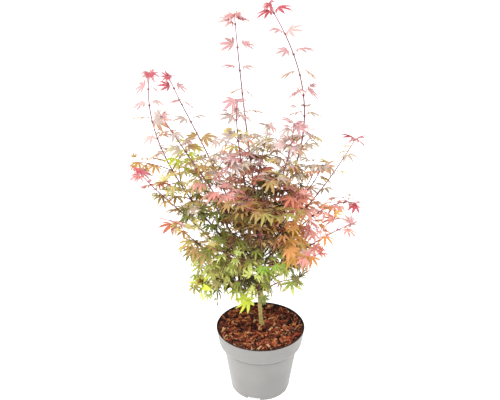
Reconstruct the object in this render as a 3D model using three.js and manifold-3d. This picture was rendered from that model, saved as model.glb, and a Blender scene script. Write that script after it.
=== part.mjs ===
// A young Japanese maple in its nursery pot: a thin-walled pot filled with bark potting mix, a slim
// leaning trunk, boughs in opposite pairs, and masses of palmate leaves that end in long red shoots.
// Millimetres, +Z up. The origin is the middle of the pot's flat underside.
import * as THREE from "three";
import { mergeVertices } from "three/addons/utils/BufferGeometryUtils.js";
import Module from "manifold-3d";

const wasm = await Module();
wasm.setup();

// Driving dimensions of the pot
const POT_HEIGHT = 150;
const RIM_RADIUS = 95;
const WALL = 1.6;
const TAPER = 0.153; // inwards for each millimetre down, on collar and body alike
const COLLAR_HEIGHT = 39;
const STEP_IN = 8.5; // the body is this much slimmer than the collar
const STEP_FALL = 4;
const STEP_BEVEL = 1.2; // on the collar's lower edge
const FOOT_RADIUS = 63;
const FOOT_WIDTH = 4.5;
const FOOT_BEVEL = 2.4;
const BODY_FOOT = 13; // the body's straight taper begins at this height
const INSIDE_BEVEL = 4; // round the floor
const PAD_RADIUS = 32; // the pad in the middle of the underside
const PAD_SLOPE = 3; // the pad's side leans out by this
const CHANNEL_HEIGHT = 7; // the underside between pad and foot is raised by this much
const NOTCH_WIDTH = 29;
const NOTCH_HEIGHT = 6.5;
const NOTCH_DEPTH = 14;
const NOTCH_COUNT = 4;
const NOTCH_TURN = -104; // degrees round from +X to the first notch
const POT_SIDES = 32;

// Driving dimensions of the potting mix and the bark chips on it
const GAP = 0.3; // between neighbouring solids
const SOIL_LEVEL = 142;
const CHIP_COUNT = 12;
const CHIP_LENGTHS = [13, 26];
const CHIP_WIDTHS = [0.3, 0.6]; // of its length
const CHIP_THICKNESS = 4;
const CHIP_TILT = 0.25; // radians either way
const CHIP_DISTANCES = [16, 72]; // from the pot's axis
const CHIP_TURN = 2.4; // radians from one chip to the next

// Driving dimensions of the trunk
const TRUNK_FOOT = [4, 14];
const TRUNK_RADIUS = 4.1;
const FLARE = 1.8;
const FLARE_FALL = 9; // the root flare fades over this height
const TRUNK_TOP = 408;
const TRUNK_TIP_RADIUS = 1.9;
const TRUNK_LEAN = [-11, -6]; // from the foot to the tip
const TRUNK_SWAY = 3;
const TRUNK_TAPER = 1.15; // over 1, the trunk thins faster near its tip
const TRUNK_RINGS = [0, 0.012, 0.03, 0.06, 0.1, 0.18, 0.28, 0.38, 0.5, 0.64, 0.8, 1];
const TRUNK_SIDES = 9;

// Driving dimensions of the limbs
const BOUGH_RADIUS = 2.5;
const THINNEST_BOUGH = 1.5; // a bough's radius at the trunk is this,
const BOUGH_THICKENING = 0.004; // and this much more for each millimetre of its arc
const TIP_RADIUS = 1.15;
const BOUGH_RINGS = 3;
const BOUGH_SIDES = 5;
const STEM_STEP = 75; // between the rings of a stem, about
const TWIG_RADIUS = 1.35;
const TWIG_TAPER = 0.85; // of that radius is left at its end
const TWIG_SIDES = 3;
const LONGEST_TWIG = 64;
const TWIG_SHARE = 0.2; // a side twig is this share of its arc's length,
const TWIG_MORE = 16; // and this much more
const TWIG_LENGTHS = [0.8, 1.2]; // how much side twigs differ
const TWIG_OUT = 0.86; // a side twig's way, as shares of its length: out from the stem,
const TWIG_AHEAD = 0.42; // along it,
const TWIG_RISES = [-0.05, 0.2]; // and up
const TWIG_BEND = 0.12;
const TWIG_PAIR = 0.55; // of its length, to its pair of leaves
const TWIG_END = 0.96; // and to its last leaf

// Driving dimensions of the leaves
const LEAF_LENGTH = 38; // of a leaf whose stalk has the length below
const PETIOLE = 21;
const LEAF_THICKNESS = 1.1;
const LOBE_ANGLES = [-88, -44, 0, 44, 88];
const LOBE_LENGTHS = [0.64, 0.92, 1, 0.92, 0.64];
const NOTCH_SHARE = 0.32; // of the leaf's length, from its base to the gaps between the lobes
const NOTCH_DROOP = 0.6; // of the lobes' droop
const BASE_EDGE = [-0.8, 0.7]; // the leaf's corners beside its stalk, back and aside
const STALK_RADIUS = 0.38;
const STALK_LENGTHS = [0.75, 1.15]; // how much stalks differ
const STALK_ALONG = 0.5; // a stalk's way: along the twig,
const STALK_OUT = 0.85; // out from it,
const STALK_UP = 0.25; // and up
const LEAF_SIZES = [0.85, 1.15]; // how much leaves differ
const LEAF_DROOPS = [0.16, 0.36]; // how far lobes sink, for each millimetre of reach
const LEAF_SWING = 0.175; // radians either way, and wider with each try
const LEAF_ROLL = 0.3; // radians either way
const LEAF_SLOPE = 0.15; // of the twig's own slope that its leaves keep
const LEAF_MIDDLE = 0.4; // of its length, from the base to the middle of a leaf
const HANG_LOW = 52; // degrees that leaves hang below level at the foot of the crown
const HANG_HIGH = 8; // and at its top
const HANG_SPREAD = 12; // degrees either way
const HANG_HEIGHTS = [260, 590]; // the heights of those two
const TRIES = 7; // ways that a leaf is laid before it is given up

// How each stem carries its twigs and leaves
const FIRST_LEVEL = 0.4; // of the distance between two levels
const LAST_LEVEL = 0.95; // of the arc
const STEM_LEAVES = [1.05, 0.72]; // sizes of the leaves from the foot of an arc to its tip
const TIP_NODE = 0.99; // of the arc
const TIP_LEAVES = [0.62, 0.5]; // sizes of the pair and the last leaf at the tip
const TIP_TURNS = [0.6, 2.2];
const LEVEL_TURN = 0.45; // radians either way
const TWIG_TURN = 0.4; // radians either way
const STEM_POINTS = 25; // places on each stem that the spaces of the masses are measured from

// Each mass of foliage grows on an arc that leaves the trunk "fork" mm above the potting mix, passes
// "by" half way and ends at "tip". The first share of the arc is "bare": it is a bough of its own,
// or on a mass that is "onTrunk" the foot of the mass's own stem. "twigs" pairs of side twigs stand on
// the lower part of the rest, and "pairs" pairs of leaves on its upper part.
const MASSES = [
  { name: "middle_tall", onTrunk: true, fork: 266, bare: 0.04, twigs: 2, pairs: 4, leaf: 38,
    by: [-31, 10, 600], tip: [-51, 10, 801] },
  { name: "tallest", fork: 226, bare: 0.2, twigs: 2, pairs: 4, leaf: 38,
    by: [80, 0, 600], tip: [8, 0, 821] },
  { name: "far_left", fork: 128, bare: 0.26, twigs: 1, pairs: 4, leaf: 38,
    by: [-175, 0, 506], tip: [-208, 0, 697] },
  { name: "left_back", fork: 150, bare: 0.26, twigs: 1, pairs: 4, leaf: 38,
    by: [-100, 50, 500], tip: [-185, 80, 675] },
  { name: "left_front", fork: 168, bare: 0.24, twigs: 1, pairs: 3, leaf: 40,
    by: [-92, -42, 475], tip: [-184, -60, 634] },
  { name: "middle_front", fork: 214, bare: 0.24, twigs: 1, pairs: 2, leaf: 42,
    by: [-36, -34, 505], tip: [-48, -45, 657] },
  { name: "right_front", fork: 196, bare: 0.26, twigs: 1, pairs: 2, leaf: 42,
    by: [34, -38, 485], tip: [58, -50, 612] },
  { name: "right_back", fork: 176, bare: 0.3, twigs: 1, pairs: 2, leaf: 40,
    by: [104, 38, 425], tip: [188, 50, 554] },
  { name: "right_middle", fork: 186, bare: 0.3, twigs: 1, pairs: 1, leaf: 44,
    by: [66, -20, 435], tip: [114, -30, 521] },
  { name: "low_left", fork: 106, bare: 0.28, twigs: 1, pairs: 3, leaf: 42,
    by: [-128, -20, 393], tip: [-233, -30, 509] },
  { name: "lowest_left", fork: 88, bare: 0.28, twigs: 1, pairs: 1, leaf: 46,
    by: [-92, -42, 338], tip: [-168, -60, 416] },
  { name: "low_right", fork: 112, bare: 0.3, twigs: 1, pairs: 1, leaf: 46,
    by: [92, -24, 350], tip: [175, -30, 403] },
  { name: "mid_right", fork: 140, bare: 0.3, twigs: 1, pairs: 1, leaf: 42,
    by: [112, 20, 402], tip: [190, 30, 424] },
  { name: "lowest_right", fork: 92, bare: 0.3, twigs: 1, pairs: 0, leaf: 44,
    by: [66, -34, 312], tip: [120, -50, 350] },
  { name: "back_middle", fork: 206, bare: 0.3, twigs: 1, pairs: 1, leaf: 46,
    by: [-4, 84, 455], tip: [17, 120, 560] },
  { name: "back_left", fork: 142, bare: 0.3, twigs: 1, pairs: 2, leaf: 44,
    by: [-104, 68, 415], tip: [-154, 100, 538] },
  { name: "back_right", fork: 156, bare: 0.3, twigs: 1, pairs: 1, leaf: 47,
    by: [76, 84, 395], tip: [118, 132, 468] },
  { name: "back_low", fork: 120, bare: 0.3, twigs: 1, pairs: 0, leaf: 48,
    by: [-30, 92, 345], tip: [-46, 158, 405] },
  { name: "front_left", fork: 144, bare: 0.35, twigs: 1, pairs: 1, leaf: 48,
    by: [-52, -68, 352], tip: [-92, -112, 392] },
  { name: "front_right", fork: 124, bare: 0.35, twigs: 1, pairs: 1, leaf: 50,
    by: [42, -66, 338], tip: [78, -112, 372] },
  { name: "front_upper", fork: 177, bare: 0.35, twigs: 1, pairs: 1, leaf: 48,
    by: [-2, -62, 412], tip: [4, -104, 460] },
  { name: "front_middle", fork: 100, bare: 0.35, twigs: 1, pairs: 0, leaf: 45,
    by: [-6, -62, 306], tip: [-16, -108, 332] },
  { name: "inner_left", onTrunk: true, fork: 190, bare: 0.4, twigs: 0, pairs: 3, leaf: 44,
    by: [-34, -22, 372], tip: [-62, -38, 420] },
  { name: "inner_right", onTrunk: true, fork: 160, bare: 0.4, twigs: 0, pairs: 3, leaf: 44,
    by: [34, -10, 345], tip: [64, -22, 385] },
  { name: "inner_top", onTrunk: true, fork: 236, bare: 0.35, twigs: 0, pairs: 3, leaf: 44,
    by: [6, -18, 430], tip: [14, -44, 490] },
  { name: "inner_back", onTrunk: true, fork: 172, bare: 0.4, twigs: 0, pairs: 3, leaf: 44,
    by: [8, 42, 345], tip: [22, 76, 400] },
  { name: "inner_low_left", onTrunk: true, fork: 112, bare: 0.4, twigs: 0, pairs: 3, leaf: 44,
    by: [-34, -22, 285], tip: [-66, -38, 318] },
  { name: "skirt_front_left", onTrunk: true, fork: 80, bare: 0.4, twigs: 1, pairs: 0, leaf: 44,
    by: [-62, -34, 276], tip: [-114, -66, 286] },
  { name: "skirt_front", onTrunk: true, fork: 73, bare: 0.3, twigs: 0, pairs: 2, leaf: 40,
    by: [-20, -38, 260], tip: [-42, -80, 270] },
  { name: "skirt_right", onTrunk: true, fork: 82, bare: 0.3, twigs: 0, pairs: 2, leaf: 40,
    by: [40, -18, 266], tip: [76, -46, 290] },
  { name: "skirt_back_right", onTrunk: true, fork: 94, bare: 0.4, twigs: 1, pairs: 0, leaf: 46,
    by: [50, 44, 280], tip: [96, 82, 302] },
  { name: "skirt_back_left", onTrunk: true, fork: 86, bare: 0.4, twigs: 1, pairs: 0, leaf: 46,
    by: [-44, 46, 276], tip: [-94, 92, 296] },
  { name: "inner_back_high", onTrunk: true, fork: 192, bare: 0.4, twigs: 0, pairs: 2, leaf: 46,
    by: [-20, 42, 384], tip: [-34, 82, 424] },
  { name: "inner_back_low", onTrunk: true, fork: 104, bare: 0.4, twigs: 0, pairs: 1, leaf: 48,
    by: [2, 46, 288], tip: [4, 84, 312] },
];

const UP = new THREE.Vector3(0, 0, 1);
const radians = THREE.MathUtils.degToRad;
const lerp = THREE.MathUtils.lerp;
const point = (xyz) => new THREE.Vector3(...xyz);
const vary = (random, [low, high]) => lerp(low, high, random());
const eitherWay = (random, most) => vary(random, [-most, most]);

// The same seed always gives the same plant.
function seededRandom(seed) {
  let state = seed >>> 0;
  return () => {
    state = (Math.imul(state, 1664525) + 1013904223) >>> 0;
    return state / 2 ** 32;
  };
}

function solidOf(vertices, triangles) {
  const vertProperties = new Float32Array(vertices);
  const triVerts = new Uint32Array(triangles);
  return new wasm.Manifold(new wasm.Mesh({ numProp: 3, vertProperties, triVerts }));
}

// A closed three.js geometry as a solid
function solidOfGeometry(geometry) {
  const bare = geometry.clone();
  bare.deleteAttribute("normal");
  bare.deleteAttribute("uv");
  const merged = mergeVertices(bare, 1e-3);
  const kept = [];
  const index = merged.index.array;
  for (let i = 0; i < index.length; i += 3) {
    const [a, b, c] = index.slice(i, i + 3);
    if (a !== b && b !== c && c !== a) kept.push(a, b, c);
  }
  return solidOf(merged.attributes.position.array, kept);
}

function meshOf(name, solid, material) {
  const { numProp, vertProperties, triVerts } = solid.getMesh();
  const positions = [];
  for (let i = 0; i < vertProperties.length; i += numProp) {
    positions.push(...vertProperties.slice(i, i + 3));
  }
  const geometry = new THREE.BufferGeometry();
  geometry.setAttribute("position", new THREE.Float32BufferAttribute(positions, 3));
  geometry.setIndex([...triVerts]);
  geometry.computeVertexNormals();
  const mesh = new THREE.Mesh(geometry, material);
  mesh.name = name;
  return mesh;
}

// A profile of [radius, height] points, turned round the pot's axis
function turned(profile) {
  const points = profile.map(([r, z]) => new THREE.Vector2(r, z));
  return solidOfGeometry(new THREE.LatheGeometry(points, POT_SIDES).rotateX(Math.PI / 2));
}

const potMaterial = new THREE.MeshStandardMaterial({ color: 0xb3b3af, roughness: 0.55 });
const soilMaterial = new THREE.MeshStandardMaterial({ color: 0x6b341d, roughness: 0.95 });
const barkMaterial = new THREE.MeshStandardMaterial({ color: 0x8d7c52, roughness: 0.85 });
const boughMaterial = new THREE.MeshStandardMaterial({ color: 0x5a2a30, roughness: 0.7 });
const leafMaterial = new THREE.MeshStandardMaterial({ color: 0xa9804a, roughness: 0.6 });

// The pot's outer and inner radii at a height
const COLLAR_FOOT = POT_HEIGHT - COLLAR_HEIGHT;
const BODY_TOP = COLLAR_FOOT - STEP_FALL;
const collarRadius = (z) => RIM_RADIUS - TAPER * (POT_HEIGHT - z);
const bodyRadius = (z) => collarRadius(z) - STEP_IN;

// The inside of the wall and floor, from the rim down to the axis, moved inwards by "gap"
function innerProfile(gap, rimHeight) {
  const inset = WALL + gap;
  const floor = CHANNEL_HEIGHT + inset;
  return [
    [collarRadius(rimHeight) - inset, rimHeight],
    [collarRadius(COLLAR_FOOT) - inset, COLLAR_FOOT + inset],
    [bodyRadius(BODY_TOP) - inset, BODY_TOP + inset],
    [bodyRadius(floor) - inset, floor + INSIDE_BEVEL],
    [bodyRadius(floor) - inset - INSIDE_BEVEL, floor],
    [PAD_RADIUS + PAD_SLOPE - inset, floor],
    [PAD_RADIUS - inset, inset],
    [0, inset],
  ];
}

function makePot() {
  const outer = [
    [0, 0],
    [PAD_RADIUS, 0],
    [PAD_RADIUS + PAD_SLOPE, CHANNEL_HEIGHT],
    [FOOT_RADIUS - FOOT_WIDTH, CHANNEL_HEIGHT],
    [FOOT_RADIUS - FOOT_WIDTH, 0],
    [FOOT_RADIUS, 0],
    [FOOT_RADIUS + FOOT_BEVEL, FOOT_BEVEL],
    [bodyRadius(BODY_FOOT), BODY_FOOT],
    [bodyRadius(BODY_TOP), BODY_TOP],
    [collarRadius(COLLAR_FOOT) - STEP_BEVEL, COLLAR_FOOT - STEP_BEVEL],
    [collarRadius(COLLAR_FOOT), COLLAR_FOOT],
    [RIM_RADIUS, POT_HEIGHT],
  ];
  let pot = turned([...outer, ...innerProfile(0, POT_HEIGHT)]);
  for (let i = 0; i < NOTCH_COUNT; i++) {
    const notch = new THREE.BoxGeometry(NOTCH_DEPTH, NOTCH_WIDTH, 2 * NOTCH_HEIGHT);
    notch.translate(FOOT_RADIUS, 0, 0).rotateZ(radians(NOTCH_TURN + (i * 360) / NOTCH_COUNT));
    pot = pot.subtract(solidOfGeometry(notch));
  }
  return pot;
}

// The potting mix fills the pot to a level top, with flat chips of bark lying on it.
function makePottingMix() {
  const profile = [[0, SOIL_LEVEL], ...innerProfile(GAP, SOIL_LEVEL)].reverse();
  const pieces = [turned(profile)];
  const random = seededRandom(7);
  for (let i = 0; i < CHIP_COUNT; i++) {
    const length = vary(random, CHIP_LENGTHS);
    const width = length * vary(random, CHIP_WIDTHS);
    const distance = lerp(...CHIP_DISTANCES, Math.sqrt((i + 0.5) / CHIP_COUNT));
    const around = (i + eitherWay(random, 0.1)) * CHIP_TURN;
    const chip = new THREE.BoxGeometry(length, width, CHIP_THICKNESS);
    chip.rotateX(eitherWay(random, CHIP_TILT)).rotateY(eitherWay(random, CHIP_TILT));
    chip.rotateZ(eitherWay(random, Math.PI));
    chip.translate(distance * Math.cos(around), distance * Math.sin(around), SOIL_LEVEL);
    pieces.push(solidOfGeometry(chip));
  }
  return wasm.Manifold.union(pieces);
}

// The largest of the bodies that a solid is made of, without loose scraps or sealed hollows
function largestBody(solid) {
  const bodies = solid.decompose();
  return bodies.reduce((best, body) => (body.volume() > best.volume() ? body : best));
}

// A closed limb through centres with a radius at each, from rings of "sides" points
function limb(centres, radii, sides) {
  const vertices = [];
  const triangles = [];
  const steps = centres.length - 1;
  const along = centres.map((_, i) =>
    centres[Math.min(i + 1, steps)].clone().sub(centres[Math.max(i - 1, 0)]).normalize(),
  );
  const across = Math.abs(along[0].x) > 0.8 ? point([0, 1, 0]) : point([1, 0, 0]);
  for (let i = 0; i <= steps; i++) {
    across.addScaledVector(along[i], -across.dot(along[i])).normalize();
    const third = along[i].clone().cross(across);
    for (let k = 0; k < sides; k++) {
      const turn = (2 * Math.PI * k) / sides;
      const p = centres[i].clone().addScaledVector(across, radii[i] * Math.cos(turn));
      p.addScaledVector(third, radii[i] * Math.sin(turn));
      vertices.push(p.x, p.y, p.z);
    }
  }
  for (let i = 0; i < steps; i++)
    for (let k = 0; k < sides; k++) {
      const [a, b] = [i * sides + k, i * sides + ((k + 1) % sides)];
      triangles.push(a, b, b + sides, a, b + sides, a + sides);
    }
  for (let k = 1; k < sides - 1; k++) {
    triangles.push(0, k + 1, k);
    triangles.push(steps * sides, steps * sides + k, steps * sides + k + 1);
  }
  return solidOf(vertices, triangles);
}

// The trunk's middle line and radius at a share of its height
function trunkCentre(share) {
  const sway = Math.sin(share * Math.PI) * TRUNK_SWAY;
  return new THREE.Vector3(
    TRUNK_FOOT[0] + TRUNK_LEAN[0] * Math.sqrt(share) - 0.4 * sway,
    TRUNK_FOOT[1] + TRUNK_LEAN[1] * share + sway,
    lerp(SOIL_LEVEL + GAP, TRUNK_TOP, share),
  );
}
function trunkRadius(share) {
  const height = share * (TRUNK_TOP - SOIL_LEVEL);
  const flare = FLARE * Math.exp(-height / FLARE_FALL);
  return lerp(TRUNK_RADIUS, TRUNK_TIP_RADIUS, share ** TRUNK_TAPER) + flare;
}
function makeTrunk(extra) {
  const centres = TRUNK_RINGS.map(trunkCentre);
  centres[0].z -= extra;
  centres[centres.length - 1].z += extra;
  return limb(centres, TRUNK_RINGS.map((share) => trunkRadius(share) + extra), TRUNK_SIDES);
}

// Where a mass leaves the trunk, on the trunk's middle line
function forkOf(mass) {
  return trunkCentre(mass.fork / (TRUNK_TOP - SOIL_LEVEL));
}

// The whole arc of a mass, from the trunk's middle to the tip of the shoot
function arcOf(mass) {
  const start = forkOf(mass);
  const tip = point(mass.tip);
  const control = point(mass.by).multiplyScalar(2);
  control.addScaledVector(start, -0.5).addScaledVector(tip, -0.5);
  return new THREE.QuadraticBezierCurve3(start, control, tip);
}

// The part of an arc between two shares of it, tapering with the whole arc
function limbAlong(arc, fromShare, toShare, steps, sides) {
  const centres = [];
  const radii = [];
  const thick = Math.min(BOUGH_RADIUS, THINNEST_BOUGH + BOUGH_THICKENING * arc.getLength());
  for (let i = 0; i <= steps; i++) {
    const share = lerp(fromShare, toShare, i / steps);
    centres.push(arc.getPoint(share));
    radii.push(lerp(thick, TIP_RADIUS, Math.sqrt(share)));
  }
  return limb(centres, radii, sides);
}

// A leaf with its stalk: a thin star whose lobes droop from the middle, in one closed surface.
// "foot" is on the twig, "base" where the stalk meets the blade, "ahead" the way of the middle lobe.
function leafSolid(foot, base, ahead, face, length, droop, pad) {
  const aside = face.clone().cross(ahead);
  const half = LEAF_THICKNESS / 2 + pad;
  const put = (x, y, z) =>
    base.clone().addScaledVector(ahead, x).addScaledVector(aside, y).addScaledVector(face, z);
  const stalk = base.clone().sub(foot).normalize();
  const stalkSide = aside.clone().addScaledVector(stalk, -aside.dot(stalk)).normalize();
  const stalkFace = stalk.clone().cross(stalkSide);
  const thick = STALK_RADIUS + pad;
  const [back, beside] = BASE_EDGE;
  const rim = [put(back - pad, -beside - pad, 0)];
  LOBE_ANGLES.forEach((degrees, i) => {
    const angle = radians(degrees);
    const reach = length * LOBE_LENGTHS[i] + pad;
    rim.push(put(reach * Math.cos(angle), reach * Math.sin(angle), -droop * reach));
    if (i === LOBE_ANGLES.length - 1) return;
    const between = radians((degrees + LOBE_ANGLES[i + 1]) / 2);
    const notch = length * NOTCH_SHARE + pad;
    rim.push(put(notch * Math.cos(between), notch * Math.sin(between), -NOTCH_DROOP * droop * notch));
  });
  rim.push(put(back - pad, beside + pad, 0));
  const stalkEnd = [
    foot.clone().addScaledVector(stalkSide, -thick).addScaledVector(stalkFace, thick / 2),
    foot.clone().addScaledVector(stalkSide, thick).addScaledVector(stalkFace, thick / 2),
    foot.clone().addScaledVector(stalkFace, -thick),
  ];
  const vertices = [...rim, put(0, 0, half), put(0, 0, -half), ...stalkEnd];
  const right = 0;
  const left = rim.length - 1;
  const [top, under, farRight, farLeft, farUnder] = [1, 2, 3, 4, 5].map((n) => left + n);
  const triangles = [top, left, right];
  for (let i = 0; i < left; i++) triangles.push(top, i, i + 1, under, i + 1, i);
  triangles.push(left, farLeft, farRight, left, farRight, right);
  triangles.push(left, under, farUnder, left, farUnder, farLeft);
  triangles.push(under, right, farRight, under, farRight, farUnder);
  triangles.push(farLeft, farUnder, farRight);
  return solidOf(vertices.flatMap((p) => p.toArray()), triangles);
}

// All pieces laid so far, so that a new one can be kept clear of them
const laid = [];
function lay(solid) {
  laid.push({ solid, box: solid.boundingBox() });
}
function meets(solid, ignore) {
  const box = solid.boundingBox();
  return laid.some(
    (other) =>
      !ignore.includes(other.solid) &&
      ["0", "1", "2"].every((i) => box.min[i] <= other.box.max[i] && box.max[i] >= other.box.min[i]) &&
      !solid.intersect(other.solid).isEmpty(),
  );
}

// A mass's own space is all that lies nearer its stem than any other's
function distanceToStem(mass, place) {
  return Math.min(...mass.stemPoints.map((p) => p.distanceTo(place)));
}
function inOwnSpace(mass, place) {
  const own = distanceToStem(mass, place);
  return MASSES.every((other) => other === mass || distanceToStem(other, place) > own);
}

// One leaf on a twig, laid outwards from it and hanging more in the lower crown. It is turned a
// little until it is in its mass's space and clear of all but what it grows from, or else left out.
function growLeaf(mass, foot, along, out, length, from) {
  for (let attempt = 0; attempt < TRIES; attempt++) {
    const swing = eitherWay(mass.random, LEAF_SWING) * (1 + attempt);
    const flat = new THREE.Vector3(out.x, out.y, LEAF_SLOPE * out.z).normalize().applyAxisAngle(UP, swing);
    const stalk = along.clone().multiplyScalar(STALK_ALONG);
    stalk.addScaledVector(flat, STALK_OUT).addScaledVector(UP, STALK_UP).normalize();
    const reach = PETIOLE * (length / LEAF_LENGTH) * vary(mass.random, STALK_LENGTHS);
    const base = foot.clone().addScaledVector(stalk, reach);
    const height = THREE.MathUtils.smoothstep(base.z, ...HANG_HEIGHTS);
    const hang = radians(lerp(HANG_LOW, HANG_HIGH, height) + eitherWay(mass.random, HANG_SPREAD));
    const ahead = flat.clone().multiplyScalar(Math.cos(hang)).addScaledVector(UP, -Math.sin(hang));
    const level = new THREE.Vector3().crossVectors(UP, ahead).normalize();
    const face = ahead.clone().cross(level).applyAxisAngle(ahead, eitherWay(mass.random, LEAF_ROLL));
    const size = length * vary(mass.random, LEAF_SIZES);
    const droop = vary(mass.random, LEAF_DROOPS);
    if (!inOwnSpace(mass, base.clone().addScaledVector(ahead, LEAF_MIDDLE * size))) continue;
    if (meets(leafSolid(foot, base, ahead, face, size, droop, GAP), from)) continue;
    const leaf = leafSolid(foot, base, ahead, face, size, droop, 0);
    lay(leaf);
    return [leaf];
  }
  return [];
}

// Leaves in opposite pairs: both stand on the same node of the twig
function growPair(mass, foot, along, turn, length, from) {
  const leaf = growLeaf(mass, foot, along, sideways(along, turn), length, from);
  const across = sideways(along, turn + Math.PI);
  return [...leaf, ...growLeaf(mass, foot, along, across, length, [...from, ...leaf])];
}

// A side twig with a pair of leaves and one at its end
function growTwig(mass, node, along, out, length, from) {
  const end = node.clone().addScaledVector(out, TWIG_OUT * length);
  end.addScaledVector(along, TWIG_AHEAD * length);
  end.z += length * vary(mass.random, TWIG_RISES);
  const bend = node.clone().lerp(end, 0.5).addScaledVector(along, TWIG_BEND * length);
  const curve = new THREE.QuadraticBezierCurve3(node, bend, end);
  const shares = [0, 0.5, 1];
  const centres = shares.map((share) => curve.getPoint(share));
  const radii = shares.map((share) => lerp(1, TWIG_TAPER, share) * TWIG_RADIUS);
  const twig = limb(centres, radii, TWIG_SIDES);
  if (meets(twig, from)) return [];
  lay(twig);
  const turn = eitherWay(mass.random, TWIG_TURN);
  const middle = curve.getPoint(TWIG_PAIR);
  const pair = growPair(mass, middle, curve.getTangent(TWIG_PAIR), turn, mass.leaf, [twig]);
  const heading = curve.getTangent(1);
  const last = growLeaf(mass, curve.getPoint(TWIG_END), heading, heading, mass.leaf, [twig]);
  const leaves = [...pair, ...last];
  return leaves.length ? [twig, ...leaves] : [];
}

// A direction square to "along", turned by "angle" from the level
function sideways(along, angle) {
  const side = new THREE.Vector3().crossVectors(UP, along);
  if (side.lengthSq() < 1e-4) side.set(1, 0, 0);
  return side.normalize().applyAxisAngle(along, angle);
}

// The rule: side twigs in opposite pairs on the lower part of the stem, pairs of leaves on the upper
// part, each pair square to the one below, and small leaves at the tip.
function growMass(mass) {
  const pieces = [mass.stem];
  const levels = mass.twigs + mass.pairs;
  const turn = eitherWay(mass.random, LEVEL_TURN);
  for (let level = 0; level < levels; level++) {
    const share = lerp(mass.bare, LAST_LEVEL, (level + FIRST_LEVEL) / levels);
    const node = mass.arc.getPoint(share);
    const along = mass.arc.getTangent(share);
    const round = turn + (level * Math.PI) / 2;
    if (level >= mass.twigs) {
      const size = mass.leaf * lerp(...STEM_LEAVES, share);
      pieces.push(...growPair(mass, node, along, round, size, [mass.stem]));
      continue;
    }
    const reach = Math.min(LONGEST_TWIG, TWIG_SHARE * mass.arc.getLength() + TWIG_MORE);
    for (const side of [0, Math.PI]) {
      const length = reach * vary(mass.random, TWIG_LENGTHS);
      pieces.push(...growTwig(mass, node, along, sideways(along, round + side), length, pieces));
    }
  }
  const end = mass.arc.getPoint(TIP_NODE);
  const heading = mass.arc.getTangent(1);
  const [pairTurn, leafTurn] = TIP_TURNS;
  const [pairSize, leafSize] = TIP_LEAVES;
  pieces.push(...growPair(mass, end, heading, turn + pairTurn, pairSize * mass.leaf, pieces));
  if (mass.pairs > 1) {
    const out = sideways(heading, turn + leafTurn);
    pieces.push(...growLeaf(mass, end, heading, out, leafSize * mass.leaf, pieces));
  }
  return largestBody(wasm.Manifold.union(pieces));
}

const trunk = makeTrunk(0);
const trunkClearance = makeTrunk(GAP);
lay(trunkClearance);
const pottingMix = largestBody(makePottingMix().subtract(trunkClearance));

const maple = new THREE.Group();
maple.add(meshOf("pot", makePot(), potMaterial));
maple.add(meshOf("potting_mix", pottingMix, soilMaterial));
maple.add(meshOf("trunk", trunk, barkMaterial));

MASSES.forEach((mass, i) => {
  mass.random = seededRandom(11 + i);
  mass.arc = arcOf(mass);
  const start = mass.onTrunk ? 0 : mass.bare + GAP / mass.arc.getLength();
  const steps = Math.round(2 + (mass.arc.getLength() * (1 - start)) / STEM_STEP);
  mass.stem = limbAlong(mass.arc, start, 1, steps, TWIG_SIDES);
  mass.stemPoints = Array.from({ length: STEM_POINTS }, (_, k) =>
    mass.arc.getPoint(lerp(start, 1, k / (STEM_POINTS - 1))),
  );
  if (mass.onTrunk) mass.stem = largestBody(mass.stem.subtract(trunkClearance));
  lay(mass.stem);
  if (mass.onTrunk) return;
  const whole = limbAlong(mass.arc, 0, mass.bare, BOUGH_RINGS, BOUGH_SIDES);
  const bough = largestBody(whole.subtract(trunkClearance));
  lay(bough);
  maple.add(meshOf(`${mass.name}_bough`, bough, boughMaterial));
});
for (const mass of MASSES) maple.add(meshOf(`${mass.name}_leaves`, growMass(mass), leafMaterial));

export default maple;
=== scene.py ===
import math
import random
import bpy
import numpy as np
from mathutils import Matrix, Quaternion, Vector, noise


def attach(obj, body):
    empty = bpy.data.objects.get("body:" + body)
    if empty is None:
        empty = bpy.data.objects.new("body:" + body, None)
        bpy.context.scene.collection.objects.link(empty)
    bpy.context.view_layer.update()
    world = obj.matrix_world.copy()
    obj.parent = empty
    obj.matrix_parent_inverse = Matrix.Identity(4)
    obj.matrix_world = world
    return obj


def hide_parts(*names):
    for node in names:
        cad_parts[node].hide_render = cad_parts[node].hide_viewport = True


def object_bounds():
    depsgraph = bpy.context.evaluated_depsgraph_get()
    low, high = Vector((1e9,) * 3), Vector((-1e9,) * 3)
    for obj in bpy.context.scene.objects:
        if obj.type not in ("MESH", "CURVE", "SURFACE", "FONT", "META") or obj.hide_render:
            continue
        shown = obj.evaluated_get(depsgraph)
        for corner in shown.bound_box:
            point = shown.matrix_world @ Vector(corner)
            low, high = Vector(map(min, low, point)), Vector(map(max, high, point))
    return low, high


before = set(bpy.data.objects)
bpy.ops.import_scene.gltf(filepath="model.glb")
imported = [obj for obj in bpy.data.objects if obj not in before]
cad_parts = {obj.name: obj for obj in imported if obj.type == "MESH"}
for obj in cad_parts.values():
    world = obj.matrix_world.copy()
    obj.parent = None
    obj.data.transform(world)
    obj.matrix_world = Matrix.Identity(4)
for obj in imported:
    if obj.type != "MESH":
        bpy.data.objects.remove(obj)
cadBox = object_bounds()

# Every size below is in millimetres and becomes metres where a mesh is made.
mm = 0.001
up = Vector((0, 0, 1))


def lerp(a, b, share):
    return a + (b - a) * share


def smooth(value):
    t = min(1.0, max(0.0, value))
    return t * t * (3 - 2 * t)


def tone(hexColour):
    # A colour as it looks on screen, in the linear values that the shader takes
    parts = [int(hexColour[i:i + 2], 16) / 255 for i in (1, 3, 5)]
    return (*(p / 12.92 if p < 0.04045 else ((p + 0.055) / 1.055) ** 2.4 for p in parts), 1)


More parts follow.
